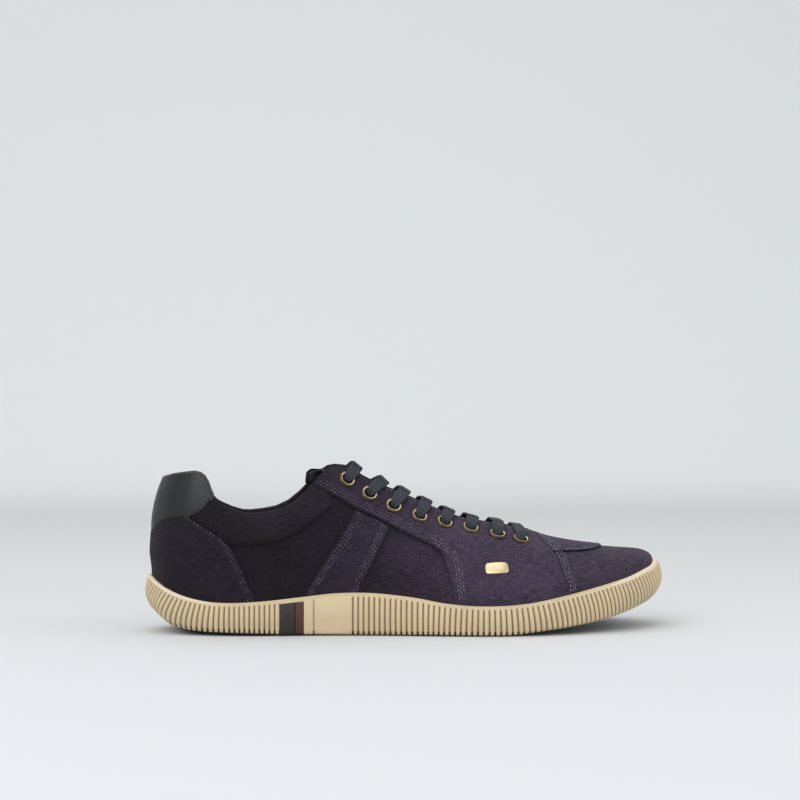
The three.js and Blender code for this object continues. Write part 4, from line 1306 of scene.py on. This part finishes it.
def cut_holes(names):
    """The named pieces with the eyelets' holes cut through, the cutter then removed."""
    mesh = bpy.data.meshes.new("holes")
    body = bmesh.new()
    for tube in hole_cutter():
        corners = [[body.verts.new(p * MM) for p in row] for row in tube]
        for i in range(len(corners) - 1):
            for j in range(len(corners[0]) - 1):
                body.faces.new((corners[i][j], corners[i + 1][j], corners[i + 1][j + 1], corners[i][j + 1]))
    bmesh.ops.remove_doubles(body, verts=body.verts, dist=WELD * MM)
    bmesh.ops.recalc_face_normals(body, faces=body.faces)
    body.to_mesh(mesh)
    body.free()
    cutter = bpy.data.objects.new("holes", mesh)
    bpy.context.scene.collection.objects.link(cutter)
    for name in names:
        piece = bpy.data.objects[name]
        cut = piece.modifiers.new("holes", "BOOLEAN")
        cut.solver = "MANIFOLD"
        cut.operation = "DIFFERENCE"
        cut.object = cutter
        graph = bpy.context.evaluated_depsgraph_get()
        done = bpy.data.meshes.new_from_object(piece.evaluated_get(graph))
        piece.modifiers.clear()
        piece.data = done
    bpy.data.objects.remove(cutter)


# A lace from inside its eyelet to the facing's edge: the way there as a share, the height above
# the last, and the width as a share of the lace's
CLIMB = rows("""
    0     -3.4 0.62
    0     -1.2 0.66
    0.04   0.9 0.72
    0.16   2.5 0.84
    0.34   3.1 0.97
    0.55   2.9 1
    0.80   2.5 1
    1      2.25 1
""")


def climb(item):
    """Where a lace lies from inside its eyelet to the facing's edge: its points, the direction
    across it and its width."""
    spot, edge = item["spot"], item["edge"]
    share = spot[0] + (edge[0] - spot[0]) * CLIMB[:, 0]
    v = spot[1] + (edge[1] - spot[1]) * CLIMB[:, 0]
    points = grown(share, v, CLIMB[:, 1], sunk=False)
    start, stop = last(spot[:1], spot[1:])[0], last(edge[:1], edge[1:])[0]
    across = np.broadcast_to(unit(np.cross(stop - start, item["out"])), points.shape)
    return points, across * item["side"], CLIMB[:, 2]


LACE_ROUND = 20  # points round a lace's section


def ribbon(points, across, width, thick, uv_from=0.0):
    """A flat lace: a rounded oblong section carried along a smooth path, its width lying along
    across; a little fuller along both borders, as woven laces are. Returns its grids."""
    count = 10 * (len(points) - 1) + 1
    table = np.column_stack([np.arange(len(points)), points, across, width])
    path = smooth(table, np.linspace(0, len(points) - 1, count))
    centre, side, wide = path[:, :3], unit(path[:, 3:6]), path[:, 6]
    run = unit(np.gradient(centre, axis=0))
    side = unit(side - run * np.sum(side * run, -1, keepdims=True))
    out = np.cross(side, run)
    turn = np.linspace(0, 2 * np.pi, LACE_ROUND + 1)
    flat = np.sign(np.cos(turn)) * np.abs(np.cos(turn)) ** 0.55 * LACE_WIDTH / 2
    tall = np.sign(np.sin(turn)) * np.abs(np.sin(turn)) ** 0.7 * thick / 2
    tall = tall * (0.86 + 0.2 * np.exp(-((np.abs(flat) - LACE_WIDTH * 0.36) / 0.7) ** 2))
    tube = (centre[:, None] + side[:, None] * (flat * wide[:, None])[..., None]
            + out[:, None] * np.broadcast_to(tall, (count, len(turn)))[..., None])
    length = lengths(centre[None], 1)[0]
    uv = np.stack(np.broadcast_arrays(uv_from + length[:, None], flat[None] * np.where(turn < np.pi, 1, -1)),
                  -1)
    ends = [np.stack([np.broadcast_to(centre[k], tube[k].shape), tube[k]], 0) for k in (0, -1)]
    return [grid(tube, uv), grid(ends[0]), grid(ends[1])]


def make_laces(cloth):
    """Each bar comes up through its eyelet, over the facing and straight across the throat. The
    hidden runs under the facings carry it on to the next bar and stop at the top eyelets."""
    pairs = {(item["number"], item["side"]): item for item in EYELET_PLACES}
    for number in range(len(EYELETS)):
        (near, near_across, near_width), (far, far_across, far_width) = (
            climb(pairs[(number, side)]) for side in (1, -1))
        middle = (near[-1] + far[-1]) / 2 + np.array([0, 0, LACE_THICKNESS * 0.1])
        points = np.vstack([near, middle, far[::-1]])
        across = np.vstack([near_across, near_across[-1] + far_across[-1], far_across[::-1]])
        width = np.concatenate([near_width, [1], far_width[::-1]])
        bar = ribbon(points, unit(across), width, LACE_THICKNESS, uv_from=number * 37.0)
        put(f"lace_{number + 1}", bar, node=f"lace_bar_{number + 1}", materials=[cloth])
    for start, stop, side in HIDDEN_RUNS:
        ends = [pairs[(len(EYELETS) - end, side)] for end in (start, stop)]
        t = np.linspace(0, 1, 7)
        spots = ends[0]["spot"] + (ends[1]["spot"] - ends[0]["spot"]) * t[:, None]
        lift = np.interp(t, [0, 0.12, 0.88, 1], [-2.9, -2.65, -2.65, -2.9])
        points = grown(spots[:, 0], spots[:, 1], lift, sunk=False)
        out = facing(spots[:, 0], spots[:, 1])
        across = unit(np.cross(np.gradient(points, axis=0), out))
        run = ribbon(points, across, np.full(len(t), 0.75), 0.8)
        put(f"lace_under_{start}_{stop}_{'lateral' if side > 0 else 'medial'}", run,
            materials=[cloth])


# The hidden runs, eyelets counted from the toe: from, to, side
HIDDEN_RUNS = [(1, 2, 1), (1, 3, -1), (2, 4, -1), (3, 5, 1), (4, 6, 1), (5, 7, -1), (6, 8, -1)]


def make_trim(metal):
    """The plain metal bar on the vamp's side: an oblong with round ends and softened borders that
    follows the last."""
    def oblong(half, turned):
        """One coordinate of the oblong's border, from the sine or the cosine of its turn."""
        return (half - corner) * np.sign(turned) * np.minimum(np.abs(turned) * 3, 1) + corner * turned

    half_w, half_t = TRIM["width"] / 2, TRIM["tall"] / 2
    turn = np.linspace(0, 2 * np.pi, 65)[:, None]
    part = np.array([0, 0.5, 0.8, 0.92, 0.98, 1.0])[None]
    corner = half_t * 0.75
    ring_x, ring_z = oblong(half_w, np.cos(turn)), oblong(half_t, np.sin(turn))
    along = TRIM["along"] + ring_x * part / LAST_LENGTH
    height = TRIM["height"] + ring_z * part / UPPER_HEIGHT
    spots = place(1, along, height)
    base = 2 * GAP + OVERLAY
    lift = base + 0.9 * np.sqrt(np.clip(1 - part ** 6, 0, 1)) + np.zeros(along.shape)
    front = grown(spots[..., 0], spots[..., 1], lift)
    back = grown(spots[..., 0], spots[..., 1], np.full(along.shape, base))
    uv = np.stack([ring_x * part, ring_z * part], -1)
    put("trim_bar_metal", [grid(front, uv), grid(back[:, ::-1], uv[:, ::-1])], node="trim_bar",
        materials=[metal])


STITCH_HALF = (0.72, 0.24, 0.2)  # half a stitch's length, width and height


def make_stitches(thread):
    """All stitches as one mesh: each a small bead, long along its row, of rings round its length."""
    places, runs, lifts = [], [], []
    for line, lift, start in STITCHES:
        points = last(line[:, 0], line[:, 1])
        length = lengths(points[None], 1)[0]
        at = np.arange(start + 1, length[-1] - 1, STITCH_PITCH)
        spot = np.stack([np.interp(at, length, line[:, k]) for k in (0, 1)], -1)
        visible = (spot[:, 1] > 0.004) & (spot[:, 1] < 1.996)
        run = np.stack([np.interp(at, length, np.gradient(points[:, k])) for k in (0, 1, 2)], -1)
        places.append(spot[visible])
        runs.append(run[visible])
        lifts.append(np.full(visible.sum(), lift))
    spots, run, lift = np.vstack(places), unit(np.vstack(runs)), np.concatenate(lifts)
    centre = grown(spots[:, 0], spots[:, 1], lift * tucked(spots[:, 1]) + 0.05)
    out = facing(spots[:, 0], spots[:, 1])
    across = np.cross(out, run)
    bead = np.linspace(0, np.pi, 6)[:, None]
    turn = np.linspace(0, 2 * np.pi, 7)[None]
    long, wide, tall = STITCH_HALF
    full = np.sin(bead) ** 0.7
    shape = np.stack(np.broadcast_arrays(-long * np.cos(bead), wide * full * np.cos(turn),
                                         tall * full * np.sin(turn)), -1)
    frame = np.stack([run, across, out], 1)
    grids = np.einsum("abk,nkc->nabc", shape, frame) + centre[:, None, None]
    put("stitches", [grid(item) for item in grids], materials=[thread])


# Finishes

def colour(red, green, blue):
    """A colour given as it looks, 0 to 255, as the shader's linear values."""
    seen = np.array([red, green, blue]) / 255
    linear = np.where(seen <= 0.04045, seen / 12.92, ((seen + 0.055) / 1.055) ** 2.4)
    return (*linear.tolist(), 1)


class Finish:
    """A material as it is wired up: node() adds a node whose inputs take values or outputs."""

    def __init__(self, name, roughness, **inputs):
        self.material = bpy.data.materials.new(name)
        self.material.use_nodes = True
        self.tree = self.material.node_tree
        self.shader = self.tree.nodes["Principled BSDF"]
        self.shader.inputs["Roughness"].default_value = roughness
        for key, value in inputs.items():
            self.shader.inputs[key.replace("_", " ")].default_value = value

    def node(self, kind, inputs=None, **settings):
        made = self.tree.nodes.new(kind)
        for key, value in settings.items():
            setattr(made, key, value)
        for key, value in (inputs or {}).items():
            self.wire(value, made.inputs[key])
        return made

    def wire(self, value, socket):
        if isinstance(value, bpy.types.NodeSocket):
            self.tree.links.new(value, socket)
        else:
            socket.default_value = value

    def sum(self, how, a, b=0.5):
        return self.node("ShaderNodeMath", {0: a, 1: b}, operation=how).outputs[0]

    def millimetres(self, stretch=(1, 1, 1), uv=True):
        """Coordinates in millimetres: the cloth's own measure, or the object's."""
        if uv:
            start = self.node("ShaderNodeUVMap", uv_map="cloth").outputs[0]
        else:
            start = self.node("ShaderNodeTexCoord").outputs["Object"]
        scale = tuple(1000 * k for k in stretch)
        return self.node("ShaderNodeVectorMath", {0: start, 1: scale}, operation="MULTIPLY").outputs[0]

    def noise(self, at, scale, detail=3.0, rough=0.6):
        inputs = {"Vector": at, "Scale": scale, "Detail": detail, "Roughness": rough}
        return self.node("ShaderNodeTexNoise", inputs).outputs[0]

    def ramp(self, factor, *stops):
        made = self.node("ShaderNodeValToRGB", {0: factor})
        elements = made.color_ramp.elements
        while len(elements) < len(stops):
            elements.new(0.5)
        for element, (position, shade) in zip(elements, stops):
            element.position = position
            element.color = shade
        return made.outputs[0]

    def mix(self, factor, a, b, how="MIX"):
        made = self.node("ShaderNodeMix", data_type="RGBA", blend_type=how)
        self.wire(factor, made.inputs[0])
        self.wire(a, made.inputs[6])
        self.wire(b, made.inputs[7])
        return made.outputs[2]

    def value(self, name):
        return self.node("ShaderNodeAttribute", attribute_name=name).outputs["Fac"]

    def base(self, shade):
        self.wire(shade, self.shader.inputs["Base Color"])

    def bump(self, height, strength, distance, under=None):
        made = self.node("ShaderNodeBump", {"Height": height, "Strength": strength, "Distance": distance})
        if under is not None:
            self.wire(under, made.inputs["Normal"])
        self.wire(made.outputs[0], self.shader.inputs["Normal"])
        return made.outputs[0]


def weave(finish, period, at):
    """The height of a plain weave: threads over and under each other, as the product of two sines."""
    split = finish.node("ShaderNodeSeparateXYZ", {0: at})
    turns = [finish.sum("MULTIPLY", split.outputs[k], 2 * math.pi / period) for k in (0, 1)]
    return finish.sum("MULTIPLY", *[finish.sum("SINE", turn) for turn in turns])


# Painted light: how much lighter the cloth is painted from heel to toe, as on the upturned toe: where, and
# how light
TOE_LIGHT_RAMP = ((0, 0.26), (0.31, 0.42), (0.55, 0.5), (0.8, 0.88), (1, 1))
# The same painted light for the upper's own canvas, with more painted shade over the upright quarter
QUARTER_TOE_LIGHT_RAMP = ((0, 0.2), (0.31, 0.216), (0.55, 0.27), (0.8, 0.7), (1, 0.88))


def painted_toe_light(made, toe_light=TOE_LIGHT_RAMP):
    """Painted light at a place: the cloth painted lighter along its ramp from 130 mm behind the middle to 50
    mm ahead.
    """
    place_x = made.node("ShaderNodeSeparateXYZ", {0: made.millimetres(uv=False)}).outputs[0]
    ahead = made.node("ShaderNodeMapRange", {0: place_x, 1: -130, 2: 50}).outputs[0]
    return made.ramp(ahead, *[(at_x, (grey, grey, grey, 1)) for at_x, grey in toe_light])


def cloth_finish(name, dark, middle, light, period=0.9, edge=None, toe_light=None):
    """Canvas: dark and light yarns along both ways of the weave, slubs and soft wear, painted light that
    makes it lighter towards the toe, and painted shadow along borders and seams where an edge colour is
    given.
    """
    made = Finish(name, 0.93, Sheen_Weight=0.05, Sheen_Roughness=0.5, Specular_IOR_Level=0.2)
    at = made.millimetres()
    along = made.noise(made.millimetres((0.22, 1.5, 1)), 1.0, 2.0, 0.7)
    up = made.noise(made.millimetres((1.5, 0.22, 1)), 1.0, 2.0, 0.7)
    yarn = made.sum("ADD", made.sum("MULTIPLY", along, 0.62), made.sum("MULTIPLY", up, 0.38))
    shade = made.ramp(yarn, (0.36, dark), (0.5, middle), (0.66, light))
    worn = made.noise(at, 0.045, 4.0)
    shade = made.mix(made.ramp(worn, (0.42, (0, 0, 0, 1)), (0.75, (0.35, 0.35, 0.35, 1))), shade, light)
    height = weave(made, period, at)
    # Painted shadow along cut borders and seams, where a piece carries the edge value
    if edge is not None:
        shade = made.mix(made.value("edge"), shade, edge)
    # Painted light: the colour multiplied by the heel-to-toe ramp
    made.base(made.mix(1.0, shade, painted_toe_light(made, toe_light or TOE_LIGHT_RAMP), "MULTIPLY"))
    rise = made.sum("ADD", made.sum("MULTIPLY", height, 0.5), made.sum("MULTIPLY", yarn, 1.2))
    made.bump(rise, 0.55, 0.0002)
    return made.material


def leather_finish(name, dark, light, edge):
    """Smooth coated leather: fine grain, faint pull marks, a soft gloss, and painted shadow along its lower
    seam.
    """
    made = Finish(name, 0.42, Specular_IOR_Level=0.45)
    at = made.millimetres()
    grain = made.node("ShaderNodeTexVoronoi", {"Vector": at, "Scale": 1.3}).outputs["Distance"]
    cloud = made.noise(at, 0.12, 4.0)
    # The edge colour is painted shadow along the lower seam
    made.base(made.mix(made.value("edge"), made.ramp(cloud, (0.3, dark), (0.75, light)), edge))
    rough = made.node("ShaderNodeMapRange", {0: cloud, 1: 0.3, 2: 0.7, 3: 0.34, 4: 0.5}).outputs[0]
    made.wire(rough, made.shader.inputs["Roughness"])
    fine = made.bump(grain, 0.25, 0.00012)
    made.bump(cloud, 0.2, 0.0006, under=fine)
    return made.material


def rubber_finish(name, rib, groove, band, shadow_black):
    """Moulded rubber: pale ribs, brown in the grooves and in specks, a lighter smooth edge, and faint
    stains, with very dark painted shadow in the notches at the ribs' feet, in the undercut and underneath."""
    made = Finish(name, 0.62, Specular_IOR_Level=0.4)
    at = made.millimetres(uv=False)
    stain = made.noise(at, 0.06, 5.0)
    speck = made.noise(at, 1.1, 3.0, 0.7)
    pale = made.ramp(stain, (0.3, tuple(0.9 * k for k in rib[:3]) + (1,)), (0.6, rib))
    pale = made.mix(made.ramp(speck, (0.6, (0, 0, 0, 1)), (0.8, (0.3, 0.3, 0.3, 1))), pale, groove)
    shade = made.mix(made.value("groove"), pale, groove)
    shade = made.mix(made.value("band"), shade, band)
    # Painted shadow, very dark, at the ribs' feet, in the undercut and on the underside
    shade = made.mix(made.value("notch"), shade, shadow_black)
    made.base(shade)
    made.bump(speck, 0.2, 0.0003)
    return made.material


def plain_rubber(name, dark, light):
    """A moulded rubber block: fine grain and faint scuffs."""
    made = Finish(name, 0.55)
    at = made.millimetres(uv=False)
    scuff = made.noise(at, 0.35, 5.0, 0.7)
    made.base(made.ramp(scuff, (0.35, dark), (0.7, light)))
    made.bump(made.noise(at, 1.6, 2.0), 0.3, 0.0002)
    return made.material


def brass_finish(name, deep, bright):
    """Brass: bronze in the hollows, bright on the worn rim, fine scratches."""
    made = Finish(name, 0.3, Metallic=1.0)
    at = made.millimetres(uv=False)
    cloud = made.noise(at, 0.9, 4.0)
    uneven = made.sum("MULTIPLY", made.sum("SUBTRACT", cloud, 0.5), 0.5)
    shine = made.sum("ADD", made.value("bright"), uneven)
    made.base(made.ramp(shine, (0.15, deep), (0.85, bright)))
    rough = made.node("ShaderNodeMapRange", {0: cloud, 1: 0.3, 2: 0.7, 3: 0.22, 4: 0.42}).outputs[0]
    made.wire(rough, made.shader.inputs["Roughness"])
    made.bump(made.noise(at, 2.5, 2.0), 0.1, 0.0001)
    return made.material


def lace_finish(name, dark, light):
    """Flat woven lace: slanting plaits that meet along the middle, with a waxed gloss."""
    made = Finish(name, 0.62, Specular_IOR_Level=0.35)
    at = made.millimetres()
    split = made.node("ShaderNodeSeparateXYZ", {0: at})
    away = made.sum("ABSOLUTE", split.outputs[1])
    slant = made.sum("ADD", split.outputs[0], made.sum("MULTIPLY", away, 0.8))
    plait = made.sum("SINE", made.sum("MULTIPLY", slant, 2 * math.pi / 1.5))
    rib = made.sum("SINE", made.sum("MULTIPLY", split.outputs[1], 2 * math.pi / 1.2))
    height = made.sum("ADD", plait, made.sum("MULTIPLY", rib, 0.7))
    tone = made.sum("ADD", made.sum("MULTIPLY", height, 0.16), made.noise(at, 0.8, 3.0))
    made.base(made.ramp(tone, (0.3, dark), (0.72, light)))
    made.bump(height, 0.7, 0.0002)
    return made.material


def thread_finish(name, dark, light):
    """Sewing thread, a little uneven from stitch to stitch, with the same painted light towards the toe as
    the cloth.
    """
    made = Finish(name, 0.7)
    cloud = made.noise(made.millimetres(uv=False), 0.35, 2.0)
    # Painted light: the thread's colour multiplied by the same heel-to-toe ramp
    made.base(made.mix(1.0, made.ramp(cloud, (0.35, dark), (0.62, light)), painted_toe_light(made), "MULTIPLY"))
    return made.material


def floor_finish(name, front, back, wall):
    """The pale floor, matt, with painted shade making it a little darker behind the shoe, and painted light
    making the backdrop lighter.
    """
    made = Finish(name, 0.85, Specular_IOR_Level=0.2)
    depth = made.node("ShaderNodeSeparateXYZ", {0: made.millimetres(uv=False)}).outputs[1]
    behind = made.node("ShaderNodeMapRange", {0: depth, 1: -100, 2: 2100}).outputs[0]
    # Painted shade on the floor behind the shoe, and painted light on the backdrop
    made.base(made.ramp(behind, (0, front), (0.16, back), (0.55, back), (0.85, wall)))
    return made.material


# The view: a long lens, level, turned a little towards the heel
VIEW = {"place": (-0.1115, -1.1235, 0.1283), "turn": -5.5, "lens": 90}

# The lamps: place and size in metres, power in watts, all aimed at the shoe
LAMPS = {
    "top": ((-0.2, 0.1, 1.6), (1.8, 1.6), 8),
    "front": ((-0.9, -1.5, 1.1), (1.4, 1.2), 14),
    "side": ((1.5, -0.5, 0.8), (1.0, 1.0), 4),
}
LAMP_AIM = (0, 0, 0.05)
SURROUND = {"colour": (0.93, 0.97, 1, 1), "strength": 0.72}

# The floor in metres: half its width, where it starts, where and how round it bends up, and the
# heights of the backdrop above the bend
STAGE = {"half": 3, "start": -2.2, "bend": 1.6, "radius": 0.9, "rows": [2.0, 3.5]}


def make_view():
    camera = bpy.data.cameras.new("view")
    camera.lens = VIEW["lens"]
    camera.sensor_width = 36
    camera.clip_start, camera.clip_end = 0.05, 20
    holder = bpy.data.objects.new("view", camera)
    holder.location = VIEW["place"]
    holder.rotation_euler = (math.radians(90), 0, math.radians(VIEW["turn"]))
    bpy.context.scene.collection.objects.link(holder)
    bpy.context.scene.camera = holder


def area_light(name, place_at, size, power):
    lamp = bpy.data.lights.new(name, "AREA")
    lamp.shape = "RECTANGLE"
    lamp.size, lamp.size_y = size
    lamp.energy = power
    holder = bpy.data.objects.new(name, lamp)
    holder.location = place_at
    holder.rotation_euler = (Vector(LAMP_AIM) - Vector(place_at)).to_track_quat("-Z", "Y").to_euler()
    bpy.context.scene.collection.objects.link(holder)


def make_studio(floor):
    """A floor that curves up into a backdrop, broad soft lamps above, in front and at the side,
    and a pale surround."""
    across = np.linspace(-STAGE["half"], STAGE["half"], 9)
    flat = np.linspace(STAGE["start"], STAGE["bend"], 9)
    turn = np.linspace(0, np.pi / 2, 13)[1:]
    wall = [STAGE["bend"] + STAGE["radius"]] * len(STAGE["rows"])
    depth = np.concatenate([flat, STAGE["bend"] + STAGE["radius"] * np.sin(turn), wall])
    rise = np.concatenate([np.zeros(len(flat)), STAGE["radius"] * (1 - np.cos(turn)), STAGE["rows"]])
    x, y = np.meshgrid(across, depth, indexing="ij")
    z = np.broadcast_to(rise, x.shape)
    points = np.stack([x, y, z], -1)
    index = np.arange(points[..., 0].size).reshape(x.shape)
    faces = np.stack([index[:-1, :-1], index[1:, :-1], index[1:, 1:], index[:-1, 1:]], -1).reshape(-1, 4)
    mesh = bpy.data.meshes.new("floor")
    mesh.from_pydata(points.reshape(-1, 3).tolist(), [], faces.tolist())
    mesh.polygons.foreach_set("use_smooth", np.ones(len(mesh.polygons), bool))
    mesh.materials.append(floor)
    backdrop = bpy.data.objects.new("floor", mesh)
    bpy.context.scene.collection.objects.link(backdrop)
    for name, (place_at, size, power) in LAMPS.items():
        area_light(name, place_at, size, power)
    world = bpy.data.worlds.new("surround")
    world.use_nodes = True
    background = world.node_tree.nodes["Background"]
    background.inputs[0].default_value = SURROUND["colour"]
    background.inputs[1].default_value = SURROUND["strength"]
    bpy.context.scene.world = world
    bpy.context.scene.view_settings.view_transform = "Standard"


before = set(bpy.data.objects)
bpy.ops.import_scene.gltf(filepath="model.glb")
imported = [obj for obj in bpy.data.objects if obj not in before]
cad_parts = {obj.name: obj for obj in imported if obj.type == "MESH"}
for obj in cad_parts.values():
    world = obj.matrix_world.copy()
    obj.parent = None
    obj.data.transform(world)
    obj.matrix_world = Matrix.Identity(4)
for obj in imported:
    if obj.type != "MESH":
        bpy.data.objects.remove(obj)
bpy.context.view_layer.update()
make_view()

# The canvas finishes below are painted lighter towards the toe; the upper's canvas takes the darker quarter
# ramp
canvas = cloth_finish("canvas", colour(40, 30, 43), colour(56, 44, 60), colour(88, 74, 94),
                      toe_light=QUARTER_TOE_LIGHT_RAMP)
# Its edge colour is painted shadow along the cut borders
overlay_canvas = cloth_finish("overlay_canvas", colour(39, 30, 44), colour(56, 45, 62), colour(85, 73, 93),
                              edge=colour(12, 9, 14))
lining_cloth = cloth_finish("lining", colour(18, 15, 20), colour(28, 24, 31), colour(42, 38, 46), period=1.4)
# Its edge colour is painted shadow in the groove at the pad's lower seam
pad_cloth = cloth_finish("pad_canvas", colour(30, 23, 33), colour(46, 37, 49), colour(74, 63, 78),
                         edge=colour(14, 10, 15))
# Its edge colour is painted shadow along the tab's lower seam
tab_leather = leather_finish("leather", colour(9, 10, 12), colour(18, 19, 23), colour(3, 3, 4))
# The last colour is painted shadow at the ribs' feet, in the undercut and under the sole
sole_rubber = rubber_finish("rubber", colour(213, 192, 155), colour(140, 116, 86), colour(230, 214, 188),
                            colour(24, 20, 17))
block_dark = plain_rubber("dark_rubber", colour(32, 27, 20), colour(44, 38, 29))
block_red = plain_rubber("red_rubber", colour(62, 31, 22), colour(86, 46, 34))
brass = brass_finish("brass", colour(88, 72, 50), colour(244, 226, 190))
bar_metal = brass_finish("bar_brass", colour(226, 205, 165), colour(240, 224, 190))
lace_cloth = lace_finish("lace", colour(26, 27, 33), colour(64, 67, 76))
thread = thread_finish("thread", colour(40, 35, 47), colour(150, 143, 162))

make_upper(canvas, lining_cloth)
make_collar(pad_cloth, tab_leather)
make_heel_counter(overlay_canvas)
make_eyestay(overlay_canvas)
make_straps(overlay_canvas)
make_toe_tab(overlay_canvas)
cut_holes(["upper_shell", "lace_facing_canvas"])
make_outsole(sole_rubber)
make_inlays(block_dark, block_red)
make_insole(lining_cloth)
make_tongue(canvas)
make_eyelets(brass)
make_laces(lace_cloth)
make_trim(bar_metal)
make_stitches(thread)
# The floor's colours: painted shade behind the shoe, painted light on the backdrop
make_studio(floor_finish("floor", colour(219, 220, 222), colour(215, 215, 214), colour(241, 242, 242)))
